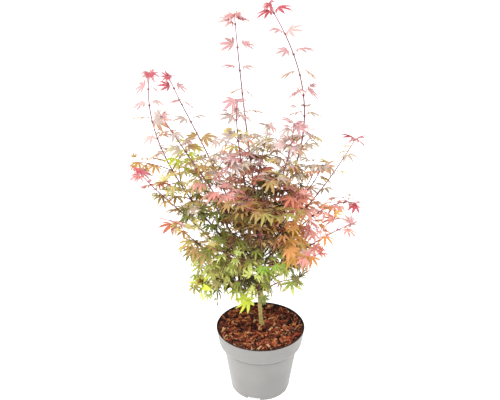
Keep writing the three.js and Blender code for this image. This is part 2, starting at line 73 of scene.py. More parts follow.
def lumps(x, y, z, size):
    # Smooth random relief from about -1 to 1, with lumps of that size
    return noise.noise(Vector((x, y, z)) / size)


class Heap:
    # Collects the faces of many small things, which become one mesh
    def __init__(self):
        self.points = []
        self.faces = []
        self.tints = []
        self.count = 0

    def add(self, points, faces, tints):
        self.points.append(np.asarray(points, float))
        for some, tint in zip(faces, tints):
            some = np.asarray(some, int)
            self.faces.append(some + self.count)
            self.tints.append(np.broadcast_to(tint, len(some)))
        self.count += len(points)

    def addTube(self, centres, radii, sides, tint=0):
        points, faces = tube(centres, radii, sides)
        self.add(points, faces, [tint, tint])

    def triangles(self):
        return sum(len(some) * (some.shape[1] - 2) for some in self.faces)

    def build(self, name, materials, rounded=True):
        sizes = np.concatenate([np.full(len(some), some.shape[1]) for some in self.faces])
        mesh = bpy.data.meshes.new(name)
        mesh.vertices.add(self.count)
        mesh.vertices.foreach_set("co", (np.concatenate(self.points) * mm).ravel())
        mesh.loops.add(int(sizes.sum()))
        mesh.loops.foreach_set("vertex_index", np.concatenate([some.ravel() for some in self.faces]))
        mesh.polygons.add(len(sizes))
        mesh.polygons.foreach_set("loop_start", np.cumsum(sizes) - sizes)
        mesh.polygons.foreach_set("material_index", np.concatenate(self.tints))
        mesh.polygons.foreach_set("use_smooth", np.full(len(sizes), rounded))
        for material in materials:
            mesh.materials.append(material)
        mesh.update(calc_edges=True)
        mesh.validate()
        made = bpy.data.objects.new(name, mesh)
        bpy.context.scene.collection.objects.link(made)
        print(f"{name}: {self.triangles()} triangles")
        return made


def bands(rings, sides):
    # The four-cornered faces between rings of points that follow each other in one array
    first = np.arange((rings - 1) * sides).reshape(rings - 1, sides)
    after = np.roll(first, -1, axis=1)
    return np.stack([first, after, after + sides, first + sides], axis=-1).reshape(-1, 4)


def evenTurns(sides):
    return np.arange(sides) * 2 * math.pi / sides


def tube(centres, radii, sides):
    # Rings round a line, with a radius for each ring or each point, closed at both ends
    centres = np.asarray(centres, float)
    rings = len(centres)
    radii = np.asarray(radii, float).reshape(rings, -1, 1)
    along = np.gradient(centres, axis=0)
    along /= np.linalg.norm(along, axis=1, keepdims=True)
    across = np.array((1.0, 0, 0)) if abs(along[0, 0]) < 0.8 else np.array((0, 1.0, 0))
    turns = evenTurns(sides)
    cosines, sines = np.cos(turns)[:, None], np.sin(turns)[:, None]
    points = []
    for centre, ahead, radius in zip(centres, along, radii):
        across = across - ahead * (across @ ahead)
        across /= np.linalg.norm(across)
        points.append(centre + radius * (cosines * across + sines * np.cross(ahead, across)))
    ends = np.stack([np.arange(sides)[::-1], np.arange(sides) + (rings - 1) * sides])
    return np.concatenate(points), [bands(rings, sides), ends]


def ringOf(radius, angles, heights):
    # A ring of points round the middle, all at one height or each at its own
    heights = np.broadcast_to(heights, len(angles))
    return np.stack([radius * np.cos(angles), radius * np.sin(angles), heights], axis=1)


class Wire:
    # A shader socket that can stand in a sum
    def __init__(self, tree, socket=None):
        self.tree = tree
        self.socket = socket

    def node(self, kind, settings, values, output=0):
        made = self.tree.nodes.new(kind)
        for name, setting in settings.items():
            if name == "stops":
                fillRamp(made.color_ramp, setting)
            else:
                setattr(made, name, setting)
        for name, value in values.items():
            if isinstance(value, Wire):
                self.tree.links.new(value.socket, made.inputs[name])
            else:
                made.inputs[name].default_value = value
        return Wire(self.tree, made.outputs[output])

    def maths(self, operation, *values):
        return self.node("ShaderNodeMath", {"operation": operation}, dict(enumerate(values)))

    def __add__(self, other):
        return self.maths("ADD", self, other)

    def __radd__(self, other):
        return self.maths("ADD", other, self)

    def __sub__(self, other):
        return self.maths("SUBTRACT", self, other)

    def __rsub__(self, other):
        return self.maths("SUBTRACT", other, self)

    def __mul__(self, other):
        return self.maths("MULTIPLY", self, other)

    def __rmul__(self, other):
        return self.maths("MULTIPLY", other, self)

    def mix(self, mask, plain, masked):
        return self.node("ShaderNodeMix", {"data_type": "RGBA"}, {0: mask, 6: plain, 7: masked}, 2)

    def between(self, value, low, high):
        settings = {"interpolation_type": "SMOOTHSTEP"}
        return self.node("ShaderNodeMapRange", settings, {"Value": value, "From Min": low, "From Max": high})

    def place(self):
        return self.node("ShaderNodeTexCoord", {}, {}, "Object")

    def stretched(self, place, scale):
        return self.node("ShaderNodeMapping", {}, {"Vector": place, "Scale": scale})

    def cloud(self, place, scale, detail=3.0):
        return self.node("ShaderNodeTexNoise", {}, {"Vector": place, "Scale": scale, "Detail": detail})

    def cells(self, place, scale):
        return self.node("ShaderNodeTexVoronoi", {}, {"Vector": place, "Scale": scale})

    def bump(self, height, strength, distance):
        values = {"Height": height, "Strength": strength, "Distance": distance}
        return self.node("ShaderNodeBump", {}, values)


def fillRamp(ramp, stops):
    while len(ramp.elements) < len(stops):
        ramp.elements.new(0.5)
    for element, (position, colour) in zip(ramp.elements, stops):
        element.position = position
        element.color = colour


def finishOf(name, constants, paint=None):
    # A material with its constant values, and the varying ones that "paint" gives by socket name
    material = bpy.data.materials.new(name)
    material.use_nodes = True
    tree = material.node_tree
    shader = tree.nodes["Principled BSDF"]
    for socket, value in constants.items():
        shader.inputs[socket].default_value = value
    for socket, wire in (paint(Wire(tree)) if paint else {}).items():
        tree.links.new(wire.socket, shader.inputs[socket])
    return material


# The pot: grey outside and black inside, drawn from the same sizes as its solid
pot = {
    "height": 150, "rim": 95, "wall": 1.6, "lip": 0.8, "taper": 0.153,
    "stepIn": 8.5, "stepTop": 115, "stepFoot": 104,  # the soft step under the collar
    "crease": 0.7, "creaseHalf": 1.1, "creaseReach": 2.5,  # the shallow groove at its foot
    "foot": 63, "footWidth": 4.5, "footRounding": 12, "pad": 32, "padSlope": 3, "channel": 7,
    "notchWidth": 29, "notchHeight": 6.5, "notches": 4, "notchTurn": -104, "notchEdge": 0.002,
    "innerFoot": 13,  # the height at which the inner wall begins
    "middle": 0.1,  # the radius of the smallest ring
    "sides": 160, "rows": 46, "creaseRows": 11, "footRows": 9, "lipRows": 7,
    "outside": "#8a8886", "cloudy": "#807e7c", "inside": "#161413", "worn": "#2a2624",
}


def potRadius(height):
    step = smooth((pot["stepTop"] - height) / (pot["stepTop"] - pot["stepFoot"]))
    return pot["rim"] - pot["taper"] * (pot["height"] - height) - pot["stepIn"] * step


def outerHeights():
    # From the lip down to the foot's rounding, close together at the crease
    even = np.linspace(pot["height"] - pot["lip"], pot["footRounding"], pot["rows"])
    reach = pot["creaseReach"]
    close = pot["stepFoot"] + pot["creaseHalf"] * np.linspace(-reach, reach, pot["creaseRows"])
    return sorted([*even, *close], reverse=True)


def outerRadius(height):
    away = (height - pot["stepFoot"]) / pot["creaseHalf"]
    return potRadius(height) - pot["crease"] * math.exp(-away * away)


def footRadius(height):
    # Below its rounding the wall bends in to the foot in a quarter of an ellipse
    top = potRadius(pot["footRounding"])
    drop = 1 - height / pot["footRounding"]
    return top - (top - pot["foot"]) * (1 - math.sqrt(1 - drop * drop))


def insideProfile():
    # Radius and height of each ring, from the middle of the floor up the wall and over the lip
    wall, floor, top = pot["wall"], pot["channel"] + pot["wall"], pot["height"] - pot["lip"]
    rings = [(pot["middle"], wall), (pot["pad"] - wall, wall)]
    rings += [(pot["pad"] + pot["padSlope"] - wall, floor), (pot["foot"] - wall, floor)]
    for z in np.linspace(pot["innerFoot"], top, pot["rows"])[:-1]:
        rings.append((potRadius(z) - wall, z))
    for turn in np.linspace(0, math.pi, pot["lipRows"]):
        rings.append((pot["rim"] - wall / 2 * (1 + math.cos(turn)), top + pot["lip"] * math.sin(turn)))
    return rings


def outsideProfile():
    # The rings after them, down the outside and under the foot to the middle of the pad
    rings = [(outerRadius(z), z) for z in outerHeights()]
    rings += [(footRadius(z), z) for z in np.linspace(pot["footRounding"], 0, pot["footRows"])[1:]]
    footInside = pot["foot"] - pot["footWidth"]
    rings += [(footInside, 0), (footInside, pot["channel"]), (pot["pad"] + pot["padSlope"], pot["channel"])]
    return rings + [(pot["pad"], 0), (pot["middle"], 0)]


def potAngles():
    # Even turns, with two close ones at each side of every notch to keep its edges sharp
    angles = list(evenTurns(pot["sides"]))
    half = pot["notchWidth"] / 2 / pot["foot"]
    for i in range(pot["notches"]):
        middle = math.radians(pot["notchTurn"] + i * 360 / pot["notches"])
        for side in (-half, half):
            for away in (-pot["notchEdge"], pot["notchEdge"]):
                angles.append((middle + side + away) % (2 * math.pi))
    return np.array(sorted(angles))


def inNotch(angles):
    turn = 2 * math.pi / pot["notches"]
    away = (angles - math.radians(pot["notchTurn"]) + turn / 2) % turn - turn / 2
    return np.abs(away) < pot["notchWidth"] / 2 / pot["foot"]


def plasticPaint(wire):
    place = wire.place()
    cloud = wire.cloud(place, 9.0)
    grain = wire.cloud(place, 1500.0, 2.0)
    return {
        "Base Color": wire.mix(wire.between(cloud, 0.35, 0.65), tone(pot["outside"]), tone(pot["cloudy"])),
        "Roughness": 0.34 + 0.14 * cloud,
        "Normal": wire.bump(grain, 0.06, 0.0003),
    }


def insidePaint(wire):
    grain = wire.cloud(wire.place(), 900.0)
    return {
        "Base Color": wire.mix(grain, tone(pot["inside"]), tone(pot["worn"])),
        "Roughness": 0.45 + 0.2 * grain,
    }


def makePot():
    angles = potAngles()
    notch = inNotch(angles)
    inner, outer = insideProfile(), outsideProfile()
    rings = [ringOf(radius, angles, z) for radius, z in inner + outer]
    for ring, (radius, z) in zip(rings[len(inner):], outer):
        if z < pot["notchHeight"] and radius >= pot["foot"] - pot["footWidth"]:
            ring[notch, 2] = pot["notchHeight"]  # wall and foot ring end higher at a notch
    ringNumbers = np.repeat(np.arange(len(rings) - 1), len(angles))
    finishes = (ringNumbers < len(inner)).astype(int)
    heap = Heap()
    heap.add(np.concatenate(rings), [bands(len(rings), len(angles))], [finishes])
    outside = finishOf("greyPlastic", {"Specular IOR Level": 0.75}, plasticPaint)
    inside = finishOf("blackPlastic", {"Specular IOR Level": 0.4}, insidePaint)
    made = heap.build("nurseryPot", [outside, inside])
    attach(made, "root")
    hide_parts("pot")


# The potting mix: a rough bed with chips and fibres of bark laid on it. A chip's tilts are random, and some
# chips lie steeper.
mulch = {
    "level": 142.5, "wallGap": 0.3, "rings": 60, "turns": 150, "lastRing": 0.004, "seed": 5,
    "relief": 1.92, "lumps": ((1, 0, 16), (0.6, 9, 6), (0.35, 4, 2.5)),  # share, place in the noise, size
    "depth": 6, "sunkRings": 24, "aboveFloor": 4, "middle": 0.5,  # the part along the wall and the floor
    "heaped": 4, "heapFrom": 55, "heapWidth": 35,  # the mix lies higher by the wall
    "bed": ["#1d0e08", "#4a2114", "#74391f"],
    "clearOfTrunk": 8, "headings": 6.3,  # radians, all the way round
    "chips": 1900, "chipLength": (4, 19), "chipWidth": (0.22, 0.6), "chipThick": (0.8, 1.5), "thicker": 0.1,
    "shortness": 1.8,  # above 1, more of the chips are short
    "corners": (0, 0.55, 2.5, math.pi, 3.75, 5.7), "cornerVaried": 0.14, "edgeVaried": 0.12,
    "topSize": 0.82, "topVaried": 0.12, "cupped": 0.03,
    "chipTilt": 0.42, "steepTilt": 0.9, "steepShare": 0.15, "pitch": 0.6, "onBed": 0.3, "chipRise": 2.6,
    "chipTints": {  # with the share of chips that have each
        "#753728": 0.18, "#934b34": 0.16, "#c4704a": 0.12, "#57221a": 0.16,
        "#e0975f": 0.09, "#220e0a": 0.17, "#b85a38": 0.06, "#f2bd8c": 0.06,
    },
    "fibres": 330, "fibreLength": (6, 18), "fibreRadius": (0.18, 0.42), "fibreInset": 0.5,
    "fibreTilt": 0.22, "fibreBend": 0.07, "fibreRise": (1.2, 2.4),
    "fibreThick": (0.5, 1, 1, 0.4), "fibreSides": 3,
    "fibreTints": ["#d49a74", "#b06a49", "#e6c3a0"],
}


def mixHeight(x, y):
    rise = sum(part * lumps(x, y, place, size) for part, place, size in mulch["lumps"])
    heaped = mulch["heaped"] * smooth((math.hypot(x, y) - mulch["heapFrom"]) / mulch["heapWidth"])
    return mulch["level"] + heaped + mulch["relief"] * rise


def bedPaint(wire):
    place = wire.place()
    crumbs = wire.cells(place, 330.0)
    cloud = wire.cloud(place, 120.0, 5.0)
    low, middle, high = [tone(colour) for colour in mulch["bed"]]
    ramp = {"stops": [(0.3, low), (0.52, middle), (0.72, high)]}
    return {
        "Base Color": wire.node("ShaderNodeValToRGB", ramp, {"Fac": cloud}),
        "Roughness": 0.75 + 0.2 * cloud,
        "Normal": wire.bump(cloud - 0.6 * crumbs, 0.9, 0.0018),
    }


def chipPaint(colour):
    # The grain of a chip runs from a darker to a lighter tone of its colour
    plain = tone(colour)
    dark = (*(part * less for part, less in zip(plain, (0.42, 0.36, 0.34))), 1)
    light = (*(min(1, part * more) for part, more in zip(plain, (1.35, 1.3, 1.2))), 1)

    def paint(wire):
        grain = wire.cloud(wire.stretched(wire.place(), (1.0, 0.45, 1.6)), 750.0, 4.0)
        return {
            "Base Color": wire.mix(wire.between(grain, 0.3, 0.7), dark, light),
            "Roughness": 0.6 + 0.3 * grain,
            "Normal": wire.bump(grain, 0.6, 0.0008),
        }

    return paint


def barkFinishes(name, colours, constants):
    return [finishOf(f"{name}{n}", constants, chipPaint(colour)) for n, colour in enumerate(colours)]


def chipShape(rng, length, width, thick):
    # A flat splinter: a rough outline of six points, twice, with a smaller top
    count = len(mulch["corners"])
    turns = np.array(mulch["corners"]) + rng.normal(0, mulch["cornerVaried"], count)
    outline = np.stack([np.cos(turns) * length / 2, np.sin(turns) * width / 2], axis=1)
    outline *= 1 + rng.normal(0, mulch["edgeVaried"], (count, 1))
    bottom = np.column_stack([outline, np.full(count, -thick / 2)])
    rough = thick / 2 + rng.normal(0, mulch["topVaried"] * thick, count)
    top = np.column_stack([outline * mulch["topSize"], rough])
    top[:, 2] += mulch["cupped"] * length * np.cos(turns * 2)
    return np.concatenate([bottom, top])


def turnMatrix(heading, pitch, roll):
    c, s = math.cos(heading), math.sin(heading)
    spin = np.array([[c, -s, 0], [s, c, 0], [0, 0, 1]])
    c, s = math.cos(pitch), math.sin(pitch)
    tip = np.array([[c, 0, s], [0, 1, 0], [-s, 0, c]])
    c, s = math.cos(roll), math.sin(roll)
    lean = np.array([[1, 0, 0], [0, c, -s], [0, s, c]])
    return spin @ tip @ lean


def chipPlace(rng, inset):
    # Anywhere on the mix but on the trunk
    reach = potRadius(mulch["level"]) - pot["wall"] - inset
    while True:
        distance, around = reach * math.sqrt(rng.random()), rng.random() * 2 * math.pi
        x, y = distance * math.cos(around), distance * math.sin(around)
        if math.hypot(x - trunk["foot"][0], y - trunk["foot"][1]) > mulch["clearOfTrunk"]:
            return x, y


def makeBed():
    # From the middle of the pot's floor up along the wall and over the top
    angles = evenTurns(mulch["turns"])
    floor = pot["channel"] + mulch["aboveFloor"]
    heights = np.linspace(floor, mulch["level"] - mulch["depth"], mulch["sunkRings"])
    inner = pot["wall"] + mulch["wallGap"]
    rings = [ringOf(mulch["middle"], angles, floor)]
    rings += [ringOf(potRadius(z) - inner, angles, z) for z in heights]
    for share in np.linspace(1, mulch["lastRing"], mulch["rings"]):
        ring = ringOf((potRadius(mulch["level"]) - inner) * share, angles, 0)
        ring[:, 2] = [mixHeight(x, y) for x, y, _ in ring]
        rings.append(ring)
    heap = Heap()
    heap.add(np.concatenate(rings), [bands(len(rings), mulch["turns"])], [0])
    return heap.build("mixBed", [finishOf("mixBed", {}, bedPaint)])


def layChips(rng):
    heap = Heap()
    count = len(mulch["corners"])
    corner = np.arange(count)
    faces = [bands(2, count), np.stack([corner[::-1], corner + count])]
    shortest, longest = mulch["chipLength"]
    for _ in range(mulch["chips"]):
        length = lerp(shortest, longest, rng.random() ** mulch["shortness"])
        width = length * rng.uniform(*mulch["chipWidth"])
        thick = rng.uniform(*mulch["chipThick"]) + mulch["thicker"] * length
        x, y = chipPlace(rng, mulch["wallGap"] + length / 2)
        tilt = mulch["steepTilt"] if rng.random() < mulch["steepShare"] else mulch["chipTilt"]
        heading = rng.random() * mulch["headings"]
        matrix = turnMatrix(heading, rng.normal(0, tilt * mulch["pitch"]), rng.normal(0, tilt))
        shape = chipShape(rng, length, width, thick) @ matrix.T
        z = mixHeight(x, y) + thick * mulch["onBed"] + rng.random() * mulch["chipRise"]
        tint = rng.choice(len(mulch["chipTints"]), p=list(mulch["chipTints"].values()))
        heap.add(shape + (x, y, z), faces, [tint, tint])
    finishes = barkFinishes("barkChip", mulch["chipTints"], {"Specular IOR Level": 0.25})
    return heap.build("barkChips", finishes, rounded=False)


def layFibres(rng):
    heap = Heap()
    shares = np.linspace(-0.5, 0.5, len(mulch["fibreThick"]))
    least, more = mulch["fibreRise"]
    for _ in range(mulch["fibres"]):
        length = rng.uniform(*mulch["fibreLength"])
        x, y = chipPlace(rng, mulch["fibreInset"] + length / 2)
        matrix = turnMatrix(rng.random() * mulch["headings"], rng.normal(0, mulch["fibreTilt"]), 0)
        line = shares[:, None] * (length, 0, 0)
        line[:, 1] += rng.normal(0, mulch["fibreBend"] * length) * (1 - 4 * shares ** 2)
        radii = rng.uniform(*mulch["fibreRadius"]) * np.array(mulch["fibreThick"])
        z = mixHeight(x, y) + least + rng.random() * more
        tint = int(rng.integers(len(mulch["fibreTints"])))
        heap.addTube(line @ matrix.T + (x, y, z), radii, mulch["fibreSides"], tint)
    return heap.build("barkFibres", barkFinishes("barkFibre", mulch["fibreTints"], {}))


def makePottingMix():
    rng = np.random.default_rng(mulch["seed"])
    bed = makeBed()
    for made in (bed, layChips(rng), layFibres(rng)):
        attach(made, "root")
    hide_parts("potting_mix")


# The trunk, as its solid has it, with the bark's relief. Its colours are pairs, the second for the bark's
# ridges, and change at heights in metres.
trunk = {
    "foot": (4, 14), "lean": (-11, -6), "sway": 3, "swayAside": 0.4, "low": 142.3, "top": 408,
    "radius": 4.1, "tipRadius": 1.9, "taper": 1.15, "flare": 1.8, "flareFall": 9, "roots": 0.5, "buried": 3,
    "sides": 28, "ringGap": 1.2, "relief": 0.3, "knots": 60, "knotSize": 0.7, "knotVaried": (0.7, 1.5),
    "knotsLow": 1.4,  # above 1, more of the knots are low on the trunk
    "knotRise": 0.15, "sunk": 0.5, "knotRings": (0.25, 0.75, 1), "knotRadii": (1, 1.1, 0.8, 0.2),
    "knotSides": 7, "seed": 3,
    "olive": ("#e0d280", "#b4a95c"), "brown": ("#a37c4c", "#5c4430"), "wine": ("#553434", "#6e4038"),
    "pale": "#f4ecd2", "brownFrom": (0.2, 0.235), "wineFrom": (0.27, 0.34),
}
trunkRise = trunk["top"] - trunk["low"]


def trunkCentre(share):
    share = max(share, 0.0)
    sway = math.sin(share * math.pi) * trunk["sway"]
    x = trunk["foot"][0] + trunk["lean"][0] * math.sqrt(share) - trunk["swayAside"] * sway
    y = trunk["foot"][1] + trunk["lean"][1] * share + sway
    return Vector((x, y, lerp(trunk["low"], trunk["top"], share)))


def flareAt(share):
    return trunk["flare"] * math.exp(-max(share, 0.0) * trunkRise / trunk["flareFall"])


def trunkRadius(share):
    tapered = lerp(trunk["radius"], trunk["tipRadius"], max(share, 0.0) ** trunk["taper"])
    return tapered + flareAt(share)


def barkPaint(wire):
    place = wire.place()
    height = wire.node("ShaderNodeSeparateXYZ", {}, {"Vector": place}, "Z")
    cloud = wire.cloud(place, 160.0, 4.0)
    ridges = wire.cloud(wire.stretched(place, (1, 1, 0.16)), 900.0, 4.0)
    spots = 1 - wire.between(wire.cells(wire.stretched(place, (1, 1, 0.6)), 340.0), 0.15, 0.34)

    def ridged(name, low):
        ground, ridge = trunk[name]
        return wire.mix(wire.between(ridges, low, 0.7), tone(ground), tone(ridge))

    brownHere = wire.between(height + 0.03 * cloud, *trunk["brownFrom"])
    wineHere = wire.between(height + 0.04 * cloud, *trunk["wineFrom"])
    lower = wire.mix(brownHere, ridged("olive", 0.35), ridged("brown", 0.3))
    whole = wire.mix(wineHere, lower, ridged("wine", 0.3))
    return {
        "Base Color": wire.mix(spots * 0.7, whole, tone(trunk["pale"])),
        "Roughness": 0.62 + 0.25 * ridges,
        "Normal": wire.bump(ridges + 0.6 * spots, 0.5, 0.0006),
    }


def barkRelief(points, amount):
    # How far each point of a ring stands out: fine ridges along the limb and a few broad lumps
    relief = []
    for x, y, z in points:
        relief.append(lumps(x, y, z * 0.12, 1.1) + 0.8 * lumps(x, y, z, 7))
    return amount * np.array(relief)


def growKnots(rng, heap):
    # Small scars and buds that stand out of the trunk
    for _ in range(trunk["knots"]):
        share = rng.random() ** trunk["knotsLow"]
        around = rng.random() * 2 * math.pi
        out = Vector((math.cos(around), math.sin(around), trunk["knotRise"]))
        start = trunkCentre(share) + out * (trunkRadius(share) - trunk["sunk"])
        size = trunk["knotSize"] * rng.uniform(*trunk["knotVaried"])
        line = [start] + [start + out * (trunk["sunk"] + part * size) for part in trunk["knotRings"]]
        heap.addTube(line, np.array(trunk["knotRadii"]) * size, trunk["knotSides"])


def makeTrunk():
    steps = int((trunkRise + trunk["buried"]) / trunk["ringGap"])
    lowest = -trunk["buried"] / trunkRise
    turns = evenTurns(trunk["sides"])
    centres, radii = [], []
    for share in [lerp(lowest, 1, i / steps) for i in range(steps + 1)]:
        centre = trunkCentre(share) + Vector((0, 0, min(share, 0) * trunkRise))
        radius = trunkRadius(share)
        ring = ringOf(radius, turns, centre.z)
        roots = trunk["roots"] * np.sin(turns * 3 + 1) * flareAt(share)
        centres.append(centre)
        radii.append(radius + barkRelief(ring, trunk["relief"]) + roots)
    heap = Heap()
    heap.addTube(centres, radii, trunk["sides"])
    growKnots(random.Random(trunk["seed"]), heap)
    made = heap.build("trunkBark", [finishOf("trunkBark", {"Specular IOR Level": 0.3}, barkPaint)])
    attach(made, "root")
    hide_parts("trunk")


# Autumn tints, dealt out by spray, with "shade", a near-black tint that paints shade on leaves deep in the
# crown.
# Each names the tint that a blade's outer half may turn to and that of the rib in each lobe.
tints = {
    "crimson": ("#ca5866", "rose", "rose"),
    "rose": ("#d49fa0", "shell", "shell"),
    "shell": ("#e3c4c0", "rose", "hay"),
    "coral": ("#e69b8f", "shell", "shell"),
    "tan": ("#cdb8b0", "copper", "hay"),
    "hay": ("#cdbda9", "tan", "straw"),
    "bronze": ("#b69253", "caramel", "hay"),
    "copper": ("#d29873", "coral", "tan"),
    "umber": ("#4f3622", "bronze", "bronze"),
    "brick": ("#d38068", "brick", "copper"),
    "amber": ("#e9b75f", "orange", "straw"),
    "orange": ("#e8a266", "coral", "amber"),
    "caramel": ("#c3964e", "caramel", "amber"),
    "straw": ("#dbcd86", "amber", "pear"),
    "olive": ("#aea058", "bronze", "straw"),
    # painted shade: a near-black olive for leaves inside the crown, where shade falls
    "shade": ("#433d1c", "shade", "moss"),
    "moss": ("#89834c", "olive", "olive"),
    "leaf": ("#a3b152", "pear", "pear"),
    "pear": ("#d2d780", "straw", "lime"),
    "lime": ("#cfdc42", "lime", "pear"),
    "fern": ("#737b3e", "moss", "leaf"),
    "peach": ("#f0b09c", "coral", "shell"),
    "grass": ("#93bb46", "leaf", "pear"),
}
tintNames = list(tints)
families = {
    "fire": "crimson crimson rose coral",
    "rosy": "rose rose crimson shell",
    "blush": "rose shell tan rose",
    "fawn": "tan shell hay tan",
    "hay": "hay tan bronze straw",
    "bronze": "bronze copper hay umber",
    "rust": "brick copper peach caramel",
    "brick": "coral copper coral tan",
    "berry": "coral coral rose brick",
    "amber": "amber orange caramel straw",
    "salmon": "peach orange amber coral",
    "straw": "straw pear hay bronze",
    "mixed": "pear hay lime caramel",
    "fresh": "grass olive grass leaf grass",
    "olive": "olive straw moss bronze fern",
    "green": "leaf pear moss leaf fern",
    "pear": "pear leaf lime pear",
    "lime": "lime lime pear",
    # The "shade" family deals near-black leaves as painted shade inside the crown
    "shade": "umber shade moss shade",
    "dusk": "umber bronze umber olive",
    # Dark green and umber leaves among lighter greens, partly painted shade where the crown is deep
    "thicket": "fern leaf umber moss leaf pear",
}
stalkTints = {
    "stalkRed": "#cc6a74", "stalkTan": "#bf926c", "stalkLime": "#b3b456",
    "shootTip": "#9c5262", "shootWine": "#833c4d", "shootPlum": "#6f3145", "shootBrown": "#6b4638",
    "bud": "#5a1f2a",
}
stalkNames = list(stalkTints)

# The families whose leaf stalks aren't red, and those whose twigs turn red towards the tip
stalkOf = {
    "lime": "stalkLime", "pear": "stalkLime", "green": "stalkLime", "olive": "stalkTan", "straw": "stalkTan",
    "shade": "stalkTan", "bronze": "stalkTan", "hay": "stalkTan",
}
warmFamilies = ("fire", "rosy", "berry", "blush", "fawn", "brick", "amber", "salmon", "bronze")

# The arcs that the boughs and shoots follow, in the order and sizes of their solids: each leaves the trunk
# "fork" above the potting mix, passes "by" half way and ends at "tip". The families of "tints" run from its
# foot to its tip. What a mass doesn't say is as here.
usualMass = {
    "onTrunk": False,  # a mass on the trunk has its own stem from there, and the others have a bough
    "bare": 0.3,  # the share of the arc below its first node
    "twigs": 0.85,  # the share up to which side twigs stand
    "fill": 1,  # how many of the side twigs grow
    "reach": 1, "fall": 0,  # how long they are, against the usual, and how far they sink
    "spurs": 0.7, "spurTop": 600,  # how many short spurs grow in the angles of leaves, and how high up
    "tuft": 0.75,  # the size of the leaves at the tip, against the usual
}
# The masses inside the crown take mostly the "shade" family: near-black leaves as painted shade.
innerWays = {"onTrunk": True, "bare": 0.2}
skirtWays = {"onTrunk": True, "bare": 0.4}


def massOf(name, fork, by, tip, **ways):
    return {**usualMass, "name": name, "fork": fork, "by": by, "tip": tip, **ways}
